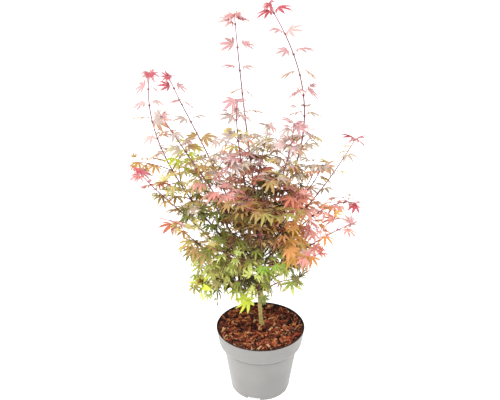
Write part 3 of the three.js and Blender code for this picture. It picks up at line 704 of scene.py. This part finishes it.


# Where "shade" comes first in "tints", a mass's foot deep in the crown gets near-black leaves as painted
# shade.
masses = [
    massOf("middle_tall", 266, (-31, 10, 600), (-51, 10, 801), onTrunk=True, bare=0.04, twigs=0.34,
           spurs=0.4, spurTop=650, tuft=0.85, tints="shade brick hay hay fawn fawn blush rosy fire"),
    massOf("tallest", 226, (80, 0, 600), (8, 0, 821), bare=0.2, twigs=0.4, fill=0.85, spurTop=655,
           tuft=0.6, tints="shade olive hay hay fawn berry hay blush rosy fire"),
    massOf("far_left", 128, (-175, 0, 506), (-208, 0, 697), bare=0.26, twigs=0.53, fill=0.85, tuft=0.65,
           tints="green green olive olive mixed fawn fawn rosy fire"),
    massOf("left_back", 150, (-100, 50, 500), (-185, 80, 675), bare=0.26, twigs=0.5, fill=0.65, spurs=0.3,
           tuft=0.6, tints="shade green olive straw hay hay fawn blush rosy fire"),
    massOf("left_front", 168, (-92, -42, 475), (-184, -60, 634), bare=0.24, twigs=0.5, fill=0.55,
           spurs=0.4, tuft=0.7, tints="shade thicket olive olive berry hay hay fawn blush"),
    massOf("middle_front", 214, (-36, -34, 505), (-48, -45, 657), bare=0.24, twigs=0.6, fill=0.8,
           spurTop=700, spurs=1, tints="shade dusk rust berry berry hay fawn blush"),
    massOf("right_front", 196, (34, -38, 485), (58, -50, 612), bare=0.26, twigs=0.6,
           tints="shade shade shade berry hay hay fawn blush"),
    massOf("right_back", 176, (104, 38, 425), (188, 50, 554), twigs=0.42, fill=0.35, spurs=0.3, tuft=1,
           tints="shade amber salmon straw fawn straw fire"),
    massOf("right_middle", 186, (66, -20, 435), (114, -30, 521), twigs=0.5, fill=0.65, spurs=0.4,
           tints="shade amber salmon salmon straw blush"),
    massOf("low_left", 106, (-128, -20, 393), (-233, -30, 509), bare=0.28, twigs=0.6, fill=0.65,
           fall=-0.1, spurs=1, tuft=0.95, tints="shade green thicket olive straw straw berry fire"),
    massOf("lowest_left", 88, (-92, -42, 338), (-168, -60, 416), bare=0.28, twigs=0.62, fill=0.55,
           fall=0.55, tuft=1.35, tints="shade shade thicket green amber berry"),
    massOf("low_right", 112, (92, -24, 350), (175, -30, 403), twigs=0.46, fill=0.6, fall=-0.4,
           tints="olive amber salmon salmon berry"),
    massOf("mid_right", 140, (112, 20, 402), (190, 30, 424), twigs=0.45, fill=0.9, tuft=0.7,
           tints="amber amber salmon salmon blush fire"),
    massOf("lowest_right", 92, (66, -34, 312), (120, -50, 350), twigs=0.38, fill=0.3, fall=-0.4,
           spurs=0.2, tuft=0.4, tints="green green straw salmon"),
    massOf("back_middle", 206, (-4, 84, 455), (17, 120, 560), twigs=0.5, fill=0.4, spurs=0.3, tuft=0.7,
           tints="shade bronze hay fawn"),
    massOf("back_left", 142, (-104, 68, 415), (-154, 100, 538), twigs=0.7, fill=0.5,
           tints="green olive straw hay fawn"),
    massOf("back_right", 156, (76, 84, 395), (118, 132, 468), twigs=0.42, fill=0.2, spurs=0.2, tuft=0.5,
           tints="olive olive hay amber"),
    massOf("back_low", 120, (-30, 92, 345), (-46, 158, 405), tints="thicket olive straw"),
    massOf("front_left", 144, (-52, -68, 352), (-92, -112, 392), bare=0.35, twigs=0.8, fall=0.3,
           tints="shade thicket green olive"),
    massOf("front_right", 124, (42, -66, 338), (78, -112, 372), bare=0.35, twigs=0.6, fill=0.7, fall=-0.4,
           tuft=0.7, tints="green fresh amber salmon"),
    massOf("front_upper", 177, (-2, -62, 412), (4, -104, 460), bare=0.35, twigs=0.8,
           tints="shade dusk dusk dusk"),
    massOf("front_middle", 100, (-6, -62, 306), (-16, -108, 332), bare=0.35, tints="shade green green"),
    massOf("inner_left", 190, (-34, -22, 372), (-62, -38, 420), tints="shade shade thicket", **innerWays),
    massOf("inner_right", 160, (34, -10, 345), (64, -22, 385), tints="shade shade amber", **innerWays),
    massOf("inner_top", 236, (6, -18, 430), (14, -44, 490), tints="shade shade shade", **innerWays),
    massOf("inner_back", 172, (8, 42, 345), (22, 76, 400), tints="shade shade green", **innerWays),
    massOf("inner_low_left", 112, (-34, -22, 285), (-66, -38, 318), tints="shade shade green",
           **innerWays),
    massOf("skirt_front_left", 80, (-62, -34, 276), (-114, -66, 286), reach=1.5, fall=-0.55, tuft=1.2,
           tints="green green pear", **skirtWays),
    massOf("skirt_front", 73, (-20, -38, 260), (-42, -80, 270), onTrunk=True, bare=0.52, fall=-0.3,
           tints="olive lime lime"),
    massOf("skirt_right", 82, (40, -18, 266), (76, -46, 290), onTrunk=True, twigs=0.4, fill=0.6,
           fall=-0.2, tints="dusk dusk green"),
    massOf("skirt_back_right", 94, (50, 44, 280), (96, 82, 302), fill=0.7, tints="green olive",
           **skirtWays),
    massOf("skirt_back_left", 86, (-44, 46, 276), (-94, 92, 296), tints="green pear", **skirtWays),
    massOf("inner_back_high", 192, (-20, 42, 384), (-34, 82, 424), tints="shade olive bronze",
           **innerWays),
    massOf("inner_back_low", 104, (2, 46, 288), (4, 84, 312), tints="shade green olive", **innerWays),
]

# The leaves are joined by the height of their mass's tip: each piece takes what is above the height here
leafPieces = {"shootLeaves": 640, "upperLeaves": 500, "middleLeaves": 380, "lowLeaves": 0}

# The lengths of the blades by where they stand, and the room that each leaf needs
foliage = {
    "crownLeaf": 26, "whipLeaf": 37, "tipLeaf": 36,
    "crownSizes": (1.15, 0.95), "whipSizes": (1.05, 0.8),  # against these, from a limb's foot to its tip
    "leafGap": 7.5,  # between the middles of two leaves
    "tries": 5,  # at finding room for a leaf
    "outside": 4,  # how far leaves may pass the solid model's box
    "lowest": 150,
    "crownTop": 545,  # above this, leaves stand on long shoots and lie flatter
    "youngAbove": 400,  # above this, the leaf at the tip of a twig is a young one
    "firstSeed": 40,  # the masses have this seed and those after it
}

# Boughs and shoots. Nodes lie "twigGap" apart where side twigs stand, and "nodeGap" beyond them.
limb = {
    "radius": 2.5, "slenderest": 1.5, "thickening": 0.004, "tipRadius": 0.85,
    "firstShare": 0.012, "firstGap": 8,  # the first node lies this share and these millimetres further out
    "twigGap": 34, "nodeGap": 46, "closer": (1.05, 0.85), "lastNode": 0.965, "tipNode": 0.99, "sides": 8,
    "wave": 1.6, "waves": 9, "waveRise": 4, "waveFall": 6,
    "swell": 0.35, "swellWidth": 1.8, "ringGap": 9, "nodeRings": (-3, -1.5, 0, 1.5, 3),
    "turned": 0.9, "pairVaried": 0.6,
    "pairTurn": 0.55,  # how far the pairs on long shoots turn from side to side
    "tipPairs": ((0.6, 1), (2.2, 0.75)),  # how far the pairs at the tip are turned, and their sizes
    "boughSides": 12, "boughRings": 2.2, "boughRelief": 0.14, "boughFlare": 0.5, "boughFlareFall": 4,
    "redFrom": 600,  # shoots that end above this are redder at their foot
    "brownFoot": ["shootBrown", "shootPlum"], "redFoot": ["shootPlum", "shootWine"],
    "shootTints": ["shootWine", "shootWine", "shootPlum", "shootTip"],
    "bark": ("#6b4c38", "#673a42"), "barkDark": "#3f2626", "barkPale": "#a98b6c",
}
twig = {
    "longest": 64, "least": 16, "growing": 0.2,  # its length is "least" and a share of its limb's
    "varied": (0.7, 1.2), "out": 0.86, "ahead": 0.42, "lift": 0.25, "sink": 0.05, "bend": 0.12,
    "nodes": (0.3, 0.53, 0.76, 0.98), "fullFrom": 46,  # shorter ones have every second node
    "radius": 1.0, "tipRadius": 0.55, "sides": 6, "bud": 1.5, "tipLeaf": 0.65, "turned": 0.8,
    "sizes": (1.08, 0.8),  # of its leaves, from its foot to its tip
    "warmTints": ["shootPlum", "shootWine", "shootTip"], "tints": ["shootBrown", "shootWine"],
}
spur = {
    "length": (8, 20), "ahead": 0.75, "out": 0.6, "rise": 0.2, "bend": 0.15, "aside": 0.5,
    "radius": 0.7, "tipRadius": 0.45, "sides": 5, "leaf": (0.45, 0.65), "last": 0.95, "turned": 3,
}
bud = {
    "rings": (-0.3, 0.4, 1, 1.6), "radii": (0.42, 0.55, 0.36, 0.06), "sides": 6,  # against its size
    "size": 1.9, "outward": 0.9, "lean": 0.5, "tipSize": 1.6,
}

# The blades, by kind: how many different ones there are, the number of lobes, and the ranges of the outer
# lobes' angle, the lobes' width, how far the blade hangs and how far its lobes fold up. "lobeLengths" runs
# from the middle lobe outward.
bladeKinds = {
    "grown": (12, 7, (98, 120), (0.1, 0.124), (0.1, 0.6), (0.1, 0.4)),
    "whip": (8, 5, (52, 80), (0.105, 0.125), (-0.1, 0.25), (0.2, 0.5)),
    "young": (8, 5, (45, 75), (0.1, 0.12), (-0.2, 0.4), (0.3, 0.7)),
}
blade = {
    "lobeLengths": {7: [1, 0.93, 0.76, 0.42], 5: [1, 0.9, 0.6]}, "lobeVaried": (0.95, 1.05),
    "openSide": 0.6,  # the half angle of the outer lobes on their free side
    "footRows": [0.0, 0.08, 0.16], "freeFrom": 0.24, "freeTo": 0.94, "freeRows": 7,
    "fullness": 0.95, "widths": (1.1, 0.9),  # how blunt a lobe is, and its width at foot and tip
    "closing": 0.93,  # below 1, the outer lobes stand closer together
    "tooth": 0.1, "rib": 0.009, "dish": 0.12, "bend": 0.07, "bendFrom": 0.2, "sagVaried": (0.7, 1.3),
    "innerPart": 0.42, "seed": 21,
}

# How each kind of leaf stands: its stalk's length for a blade of the usual length and how far the stalk
# follows the twig, then how far the blade hangs low and high in the crown, in degrees, and the most that it
# turns either way about its two level axes
leafKinds = {
    "grown": {"stalk": 25, "follow": 0.5, "low": 52, "high": 2, "nod": 15, "roll": 1.0},
    "whip": {"stalk": 14, "follow": 0.6, "low": 12, "high": 12, "nod": 22, "roll": 2.4},
    "young": {"stalk": 20, "follow": 0.7, "low": 0, "high": 0, "nod": 22, "roll": 1.6},
    "tip": {"stalk": 7, "follow": 0.9, "low": 0, "high": 0, "nod": 45, "roll": 2.4},
}
stance = {
    "usualBlade": 34, "swing": 0.35, "out": 0.85, "rise": 0.25, "steepness": 0.15,
    "stalkVaried": (0.7, 1.15), "sizeVaried": (0.85, 1.15),
    "hangBelow": 250, "flatFrom": 450,  # between these heights the blades turn from hanging to level
    "rollLow": 0.6, "rollHigh": 0.32, "middle": 0.4,
    "stalkRadius": 0.45, "stalkSides": 5, "bowUp": 0.08, "bowOut": 0.05, "intoBlade": 0.6,
    "thinnest": 0.7, "stalkThick": (1.5, 1, 0.85, 0.85, 1),
    "leadShare": 0.6, "turnedShare": 0.4,  # how many blades have their spray's own tint, and two tints
}


def arcOf(mass):
    start = trunkCentre(mass["fork"] / trunkRise)
    tip = Vector(mass["tip"])
    return start, 2 * Vector(mass["by"]) - 0.5 * start - 0.5 * tip, tip


def onArc(arc, share):
    start, control, tip = arc
    return start * (1 - share) ** 2 + control * (2 * share * (1 - share)) + tip * share ** 2


def headingOf(arc, share):
    start, control, tip = arc
    return ((control - start) * (1 - share) + (tip - control) * share).normalized()


def arcLength(arc):
    points = [onArc(arc, i / 40) for i in range(41)]
    return sum((b - a).length for a, b in zip(points, points[1:]))


def limbRadius(length, share):
    thick = min(limb["radius"], limb["slenderest"] + limb["thickening"] * length)
    return lerp(thick, limb["tipRadius"], share ** 0.5)


def lobeShape(rng, reach, angle, before, after, ways):
    # Rows of four points along a lobe, and its tip. It ends at the angles "before" and "after" from its
    # middle, where its neighbours begin, until it has narrowed past them.
    slender, droop, fold = ways
    points = []
    bend = rng.normal(0, blade["bend"])
    sag = droop * rng.uniform(*blade["sagVaried"])

    def put(ahead, across, lift):
        beyond = max(0.0, ahead - blade["bendFrom"]) ** 2
        aside = across + bend * beyond
        x = ahead * math.cos(angle) - aside * math.sin(angle)
        y = ahead * math.sin(angle) + aside * math.cos(angle)
        points.append((x, y, lift - blade["dish"] * ahead ** 2 - sag * beyond))

    free = np.linspace(blade["freeFrom"], blade["freeTo"] * reach, blade["freeRows"])
    rows = [*blade["footRows"], *free]
    for n, ahead in enumerate(rows):
        t = ahead / reach
        half = slender * reach * (4 * t * (1 - t)) ** blade["fullness"] * lerp(*blade["widths"], t)
        if n > len(blade["footRows"]):
            half *= 1 + blade["tooth"] * (1 if n % 2 else -1)
        left = min(half, ahead * math.tan(before))
        right = min(half, ahead * math.tan(after))
        rib = min(blade["rib"], 0.5 * half)
        for across, lift in ((-left, fold * left), (-rib, 0), (rib, 0), (right, fold * right)):
            put(ahead, across, lift)
    put(reach, 0, 0)
    return points, [ahead >= blade["innerPart"] * reach for ahead in rows]


def leafShape(rng, lobes, spread, *ways):
    # A blade of unit length in its own frame: x ahead, y aside, z out of its face. Its faces are in zones:
    # 0 for the inner part, 1 for the outer part and 2 for the ribs.
    side = (lobes - 1) // 2
    steps = np.arange(-side, side + 1)
    angles = np.radians(spread * np.sign(steps) * (np.abs(steps) / side) ** blade["closing"])
    points, quads, corners, zones = [], [], [], []
    for k, angle in enumerate(angles):
        reach = blade["lobeLengths"][lobes][abs(steps[k])] * rng.uniform(*blade["lobeVaried"])
        before = (angle - angles[k - 1]) / 2 if k else blade["openSide"]
        after = (angles[k + 1] - angle) / 2 if k < lobes - 1 else blade["openSide"]
        first = len(points)
        lobe, outer = lobeShape(rng, reach, angle, before, after, ways)
        points += lobe
        for n in range(len(outer) - 1):
            for column in range(3):
                a = first + 4 * n + column
                quads.append((a, a + 4, a + 5, a + 1))
                zones.append(2 if column == 1 else int(outer[n]))
        tip = len(points) - 1
        corners += [(tip - 4 + column, tip, tip - 3 + column) for column in range(3)]
    zones = [np.array(zones), np.full(len(corners), 1)]
    return {"points": np.array(points), "faces": [np.array(quads), np.array(corners)], "zones": zones}


def leafShapes():
    rng = np.random.default_rng(blade["seed"])
    shapes = {kind: [] for kind in bladeKinds}
    for kind in ["grown"] * bladeKinds["grown"][0] + ["whip", "young"] * bladeKinds["whip"][0]:
        _, lobes, *ranges = bladeKinds[kind]
        shapes[kind].append(leafShape(rng, lobes, *[rng.uniform(low, high) for low, high in ranges]))
    return {**shapes, "tip": shapes["whip"]}


class Plant:
    # What has grown so far
    def __init__(self):
        self.shapes = leafShapes()
        self.leaves = {name: Heap() for name in leafPieces}
        self.stalks = Heap()
        self.shoots = Heap()
        self.boughs = Heap()
        self.middles = np.empty((0, 3))
        self.low = np.array(cadBox[0]) / mm - foliage["outside"]
        self.high = np.array(cadBox[1]) / mm + foliage["outside"]

    def crowded(self, middle):
        return (np.linalg.norm(self.middles - np.array(middle), axis=1) < foliage["leafGap"]).any()

    def inBox(self, points):
        lowest, highest = points.min(0), points.max(0)
        return (lowest > self.low).all() and (highest < self.high).all() and lowest[2] > foliage["lowest"]


def dealtTints(rng, spray):
    family = families[spray["family"]].split()
    name = spray["lead"] if rng.random() < stance["leadShare"] else rng.choice(family)
    _, turned, rib = tints[name]
    outer = turned if rng.random() < stance["turnedShare"] else name
    return np.array([tintNames.index(tint) for tint in (name, outer, rib)])


def growStalk(plant, spray, foot, base, ahead, flat, length):
    # From the node to just inside the blade, a little bowed
    reach = (base - foot).length
    bow = (foot + base) / 2 + up * (stance["bowUp"] * reach) + flat * (stance["bowOut"] * reach)
    line = [foot, foot.lerp(bow, 0.5), bow, bow.lerp(base, 0.55), base + ahead * stance["intoBlade"]]
    thick = stance["stalkRadius"] * lerp(stance["thinnest"], 1, length / stance["usualBlade"])
    radii = thick * np.array(stance["stalkThick"])
    plant.stalks.addTube(line, radii, stance["stalkSides"], stalkNames.index(spray["stalk"]))


def growLeaf(plant, spray, foot, along, out, length, kind):
    # A leaf swings further aside with each try, until it finds room
    rng = spray["random"]
    ways = leafKinds[kind]
    for attempt in range(foliage["tries"]):
        flat = Vector((out.x, out.y, stance["steepness"] * out.z)).normalized()
        flat.rotate(Quaternion(up, stance["swing"] * (rng.random() - 0.5) * (1 + attempt)))
        stalk = (ways["follow"] * along + stance["out"] * flat + stance["rise"] * up).normalized()
        stalkLength = ways["stalk"] * (length / stance["usualBlade"]) * rng.uniform(*stance["stalkVaried"])
        base = foot + stalk * stalkLength
        flatness = smooth((base.z - stance["hangBelow"]) / (stance["flatFrom"] - stance["hangBelow"]))
        hang = math.radians(lerp(ways["low"], ways["high"], flatness) + ways["nod"] * rng.uniform(-1, 1))
        ahead = flat * math.cos(hang) - up * math.sin(hang)
        face = ahead.cross(up.cross(ahead).normalized())
        roll = ways["roll"] * lerp(stance["rollLow"], stance["rollHigh"], flatness)
        face.rotate(Quaternion(ahead, roll * rng.uniform(-1, 1)))
        size = length * rng.uniform(*stance["sizeVaried"])
        middle = base + ahead * (stance["middle"] * size)
        if plant.crowded(middle):
            continue
        shape = rng.choice(plant.shapes[kind])
        points = shape["points"] @ np.array([ahead, face.cross(ahead), face]) * size + np.array(base)
        if not plant.inBox(points):
            continue
        plant.middles = np.vstack([plant.middles, np.array(middle)])
        dealt = dealtTints(rng, spray)
        plant.leaves[spray["heap"]].add(points, shape["faces"], [dealt[some] for some in shape["zones"]])
        growStalk(plant, spray, foot, base, ahead, flat, length)
        return


def growPair(plant, spray, foot, along, side, length, kind):
    for out in (side, -side):
        growLeaf(plant, spray, foot, along, out, length, kind)


def sideways(along, angle):
    # Level and square to the limb, then turned about it
    side = up.cross(along)
    if side.length < 0.01:
        side = Vector((1, 0, 0))
    side = side.normalized()
    side.rotate(Quaternion(along, angle))
    return side


def sprayOf(mass, share, rng):
    names = mass["tints"].split()
    wander = rng.uniform(-0.5, 0.5)
    family = names[min(len(names) - 1, max(0, round(share * (len(names) - 1) + wander)))]
    lead = rng.choice(families[family].split())
    stalk = stalkOf.get(family, "stalkRed")
    return {"random": rng, "family": family, "lead": lead, "stalk": stalk, "heap": mass["heap"],
            "fall": mass["fall"]}


def swollen(radius, place, nodes):
    # A limb is thicker at each of its nodes
    near = min((abs(place - node) for node in nodes), default=limb["swellWidth"])
    return radius * (1 + limb["swell"] * math.exp(-((near / limb["swellWidth"]) ** 2)))


def layShoot(plant, curve, start, length, radius, nodes, tintRow, sides):
    # A limb along a curve from a share of it to its end, with rings close together at its nodes, and a
    # tint for each stretch
    span = (1 - start) * length
    places = set(np.linspace(0, span, max(4, int(span / limb["ringGap"])) + 1))
    for node in nodes:
        places.update(node + away for away in limb["nodeRings"] if 0 < node + away < span)
    places = np.array(sorted(places))
    shares = [lerp(start, 1, place / span) for place in places]
    radii = [swollen(radius(share), place, nodes) for share, place in zip(shares, places)]
    points, (side, ends) = tube([curve(share) for share in shares], radii, sides)
    stretches = np.repeat((places[:-1] + places[1:]) / 2 / span, sides) * len(tintRow)
    numbers = np.array([stalkNames.index(name) for name in tintRow])
    sideTints = numbers[np.minimum(stretches.astype(int), len(tintRow) - 1)]
    plant.shoots.add(points, [side, ends], [sideTints, numbers[-1]])


def growBud(plant, foot, ahead, size, tint="bud"):
    line = [foot + ahead * size * part for part in bud["rings"]]
    plant.shoots.addTube(line, np.array(bud["radii"]) * size, bud["sides"], stalkNames.index(tint))


def growTwig(plant, spray, node, along, out, length):
    rng = spray["random"]
    end = node + out * (twig["out"] * length) + along * (twig["ahead"] * length)
    end.z += length * (twig["lift"] * rng.random() - twig["sink"] - spray["fall"])
    arc = (node, (node + end) / 2 + along * (twig["bend"] * length), end)
    span = arcLength(arc)
    shares = twig["nodes"] if span > twig["fullFrom"] else twig["nodes"][1::2]
    tintRow = twig["warmTints"] if spray["family"] in warmFamilies else twig["tints"]
    layShoot(plant, lambda s: onArc(arc, s), 0, span, lambda s: lerp(twig["radius"], twig["tipRadius"], s),
             [share * span for share in shares], tintRow, twig["sides"])
    turn = twig["turned"] * (rng.random() - 0.5)
    for n, share in enumerate(shares):
        size = foliage["crownLeaf"] * lerp(*twig["sizes"], n / (len(shares) - 1))
        heading = headingOf(arc, share)
        side = sideways(heading, turn + n * math.pi / 2)
        growPair(plant, spray, onArc(arc, share), heading, side, size, "grown")
    heading = headingOf(arc, 1)
    kind = "young" if end.z > foliage["youngAbove"] else "grown"
    growLeaf(plant, spray, end, heading, heading, twig["tipLeaf"] * foliage["crownLeaf"], kind)
    growBud(plant, end, heading, twig["bud"])


def growSpur(plant, spray, node, along, out):
    # A short shoot in the angle of a leaf, with a pair of young leaves
    rng = spray["random"]
    length = rng.uniform(*spur["length"])
    end = node + (spur["ahead"] * along + spur["out"] * out + spur["rise"] * up).normalized() * length
    arc = (node, (node + end) / 2 + out * (spur["bend"] * length), end)
    layShoot(plant, lambda s: onArc(arc, s), 0, length, lambda s: lerp(spur["radius"], spur["tipRadius"], s),
             [], ["shootTip"], spur["sides"])
    heading = headingOf(arc, 1)
    side = sideways(heading, rng.uniform(0, spur["turned"]))
    growPair(plant, spray, end, heading, side, foliage["crownLeaf"] * rng.uniform(*spur["leaf"]), "young")


def nodeShares(mass, length):
    # Close together where side twigs stand, and wider apart on the shoot beyond them
    shares = []
    share = mass["bare"] + limb["firstShare"] + limb["firstGap"] / length
    while share < limb["lastNode"]:
        shares.append(share)
        gap = limb["twigGap"] if share < mass["twigs"] else limb["nodeGap"] * lerp(*limb["closer"], share)
        share += gap / length
    return shares


def growTwigs(plant, mass, rng, node, length):
    # Up to two side twigs at a node, opposite each other
    reach = min(twig["longest"], twig["growing"] * length + twig["least"]) * mass["reach"]
    for half in (0, math.pi):
        if rng.random() < mass["fill"]:
            spray = sprayOf(mass, node["share"], rng)
            out = sideways(node["along"], node["around"] + half)
            growTwig(plant, spray, node["foot"], node["along"], out, reach * rng.uniform(*twig["varied"]))


def growShootPair(plant, spray, node):
    # The leaves at a node of a long shoot, with a bud at each
    size = foliage["whipLeaf"] * lerp(*foliage["whipSizes"], node["share"])
    varied = limb["pairVaried"] * (spray["random"].random() - 0.5)
    facing = limb["pairTurn"] * (1 if node["level"] % 2 else -1) + varied
    side = Vector((math.cos(facing), math.sin(facing), 0))
    growPair(plant, spray, node["foot"], node["along"], side, size, "whip")
    for aside in (side, -side):
        ahead = (node["along"] + bud["lean"] * aside).normalized()
        growBud(plant, node["foot"] + aside * bud["outward"], ahead, bud["size"])


def growNode(plant, mass, rng, node):
    # Beyond the side twigs: a pair of leaves, and short spurs in their angles
    foot, along, around, share = node["foot"], node["along"], node["around"], node["share"]
    spray = sprayOf(mass, share, rng)
    if foot.z > foliage["crownTop"]:
        growShootPair(plant, spray, node)
    else:
        size = foliage["crownLeaf"] * lerp(*foliage["crownSizes"], share)
        growPair(plant, spray, foot, along, sideways(along, around), size, "grown")
    if foot.z > mass["spurTop"]:
        return
    for half in (0, math.pi):
        if rng.random() < mass["spurs"] and share < spur["last"]:
            growSpur(plant, spray, foot, along, sideways(along, around + half + spur["aside"]))


def growTip(plant, mass, rng, end, tip, heading, turn):
    spray = sprayOf(mass, 1.0, rng)
    size = foliage["tipLeaf"] * mass["tuft"]
    for turned, part in limb["tipPairs"]:
        growPair(plant, spray, end, heading, sideways(heading, turn + turned), part * size, "tip")
    growBud(plant, tip, heading, bud["tipSize"], "shootTip")


def makeBough(plant, stem, length, bare):
    # The bare foot of a limb, with the bark's relief, from inside the trunk to where its mass begins
    span = bare * length
    sides = limb["boughSides"]
    steps = max(6, int(span / limb["boughRings"]))
    turns = evenTurns(sides)
    centres, radii = [], []
    for i in range(steps + 1):
        share = bare * i / steps
        centre = stem(share)
        flare = limb["boughFlare"] * math.exp(-i * span / steps / limb["boughFlareFall"])
        radius = limbRadius(length, share) + flare
        centres.append(centre)
        radii.append(radius + barkRelief(ringOf(radius, turns, 0) + np.array(centre), limb["boughRelief"]))
    plant.boughs.addTube(centres, radii, sides)


def growMass(plant, mass, rng):
    arc = arcOf(mass)
    length = arcLength(arc)
    shares = nodeShares(mass, length)
    wave = Vector((rng.uniform(-1, 1), rng.uniform(-1, 1), 0)) * limb["wave"]

    def stem(share):
        held = smooth(share * limb["waveRise"]) * smooth((1 - share) * limb["waveFall"])
        return onArc(arc, share) + wave * (math.sin(share * limb["waves"]) * held)

    start = 0.0 if mass["onTrunk"] else mass["bare"]
    low = limb["brownFoot"] if mass["tip"][2] < limb["redFrom"] else limb["redFoot"]
    layShoot(plant, stem, start, length, lambda s: limbRadius(length, s),
             [(share - start) * length for share in shares], [*low, *limb["shootTints"]], limb["sides"])
    turn = limb["turned"] * (rng.random() - 0.5)
    for level, share in enumerate(shares):
        node = {"share": share, "level": level, "foot": stem(share), "along": headingOf(arc, share),
                "around": turn + level * math.pi / 2}
        if share < mass["twigs"]:
            growTwigs(plant, mass, rng, node, length)
        else:
            growNode(plant, mass, rng, node)
    growTip(plant, mass, rng, stem(limb["tipNode"]), stem(1), headingOf(arc, 1), turn)
    if not mass["onTrunk"]:
        makeBough(plant, stem, length, mass["bare"])


def boughPaint(wire):
    place = wire.place()
    ridges = wire.cloud(place, 1100.0, 3.0)
    spots = 1 - wire.between(wire.cells(place, 420.0), 0.1, 0.22)
    brown, wine = limb["bark"]
    base = wire.mix(wire.between(wire.cloud(place, 130.0, 3.0), 0.35, 0.65), tone(brown), tone(wine))
    ridged = wire.mix(ridges * 0.5, base, tone(limb["barkDark"]))
    return {
        "Base Color": wire.mix(spots * 0.4, ridged, tone(limb["barkPale"])),
        "Roughness": 0.5 + 0.3 * ridges,
        "Normal": wire.bump(ridges + 0.5 * spots, 0.4, 0.0005),
    }


def plainFinishes(colours, constants):
    return [finishOf(name, {"Base Color": tone(colour), **constants}) for name, colour in colours.items()]


def makeFoliage():
    plant = Plant()
    for number, mass in enumerate(masses):
        height = mass["tip"][2]
        mass["heap"] = next(name for name, above in leafPieces.items() if height > above)
        growMass(plant, mass, random.Random(foliage["firstSeed"] + number))
    leafColours = {name: row[0] for name, row in tints.items()}
    leafFinishes = plainFinishes(leafColours, {"Roughness": 0.58, "Specular IOR Level": 0.22})
    shootFinishes = plainFinishes(stalkTints, {"Roughness": 0.5})
    for name, heap in plant.leaves.items():
        made = heap.build(name, leafFinishes)
        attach(made, "root")
        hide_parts(*(f"{mass['name']}_leaves" for mass in masses if mass["heap"] == name))
    for name, heap in (("leafStalks", plant.stalks), ("shoots", plant.shoots)):
        made = heap.build(name, shootFinishes)
        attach(made, "root")
    boughs = plant.boughs.build("boughs", [finishOf("boughBark", {"Specular IOR Level": 0.3}, boughPaint)])
    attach(boughs, "root")
    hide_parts(*(f"{mass['name']}_bough" for mass in masses if not mass["onTrunk"]))
    print(f"{len(plant.middles)} leaves")


# The stage: a pale floor, soft light from all round, and the camera where the photograph was taken. Each
# light has its name, place and kind, the sun's angle or the disk's breadth, and its power.
stage = {
    "floorSize": 60.0, "floorTone": "#f6f6f5", "floorPale": "#fafafa", "floorGlow": 0.6,
    "worldStrength": 0.42, "cameraPlace": (-0.0227, -1.199, 0.937), "cameraTilt": 67.6, "lens": 46.8,
    "lights": [
        ("above", (-0.6, -1.3, 2.3), "SUN", math.radians(45), 2.35),
        ("fromLeft", (-1.9, 0.5, 0.9), "AREA", 1.4, 16),
        ("fromRight", (1.9, 0.5, 0.9), "AREA", 1.4, 13),
    ],
    "lightsAim": (-0.02, 0, 0.38),
}


def floorPaint(wire):
    cloud = wire.cloud(wire.place(), 3.0)
    return {"Base Color": wire.mix(cloud, tone(stage["floorTone"]), tone(stage["floorPale"]))}


def makeFloor():
    half = stage["floorSize"] / 2
    corners = [(-half, -half, 0), (half, -half, 0), (half, half, 0), (-half, half, 0)]
    mesh = bpy.data.meshes.new("floor")
    mesh.from_pydata(corners, [], [(0, 1, 2, 3)])
    floor = bpy.data.objects.new("floor", mesh)
    constants = {"Roughness": 0.9, "Emission Color": (1, 1, 1, 1), "Emission Strength": stage["floorGlow"]}
    mesh.materials.append(finishOf("paleFloor", constants, floorPaint))
    bpy.context.scene.collection.objects.link(floor)


def makeWorld():
    world = bpy.data.worlds.new("softWhite")
    world.use_nodes = True
    background = world.node_tree.nodes["Background"]
    background.inputs["Color"].default_value = (1, 1, 1, 1)
    seen = Wire(world.node_tree).node("ShaderNodeLightPath", {}, {}, "Is Camera Ray")
    strength = stage["worldStrength"] + seen * (1 - stage["worldStrength"])  # white behind, soft as light
    world.node_tree.links.new(strength.socket, background.inputs["Strength"])
    bpy.context.scene.world = world


def makeLight(name, place, kind, breadth, power):
    data = bpy.data.lights.new(name, kind)
    if kind == "SUN":
        data.angle = breadth
    else:
        data.shape = "DISK"
        data.size = breadth
    data.energy = power
    made = bpy.data.objects.new(name, data)
    made.location = place
    aim = Vector(stage["lightsAim"]) - Vector(place)
    made.rotation_mode = "QUATERNION"
    made.rotation_quaternion = aim.to_track_quat("-Z", "Y")
    bpy.context.scene.collection.objects.link(made)


def makeCamera():
    data = bpy.data.cameras.new("camera")
    data.lens = stage["lens"]
    camera = bpy.data.objects.new("camera", data)
    camera.location = stage["cameraPlace"]
    camera.rotation_euler = (math.radians(stage["cameraTilt"]), 0, 0)
    bpy.context.scene.collection.objects.link(camera)
    bpy.context.scene.camera = camera


bpy.context.scene.view_settings.view_transform = "Standard"
makeFloor()
makeWorld()
for light in stage["lights"]:
    makeLight(*light)
makeCamera()
print("stage set")
makePot()
makePottingMix()
makeTrunk()
makeFoliage()
print("plant grown")
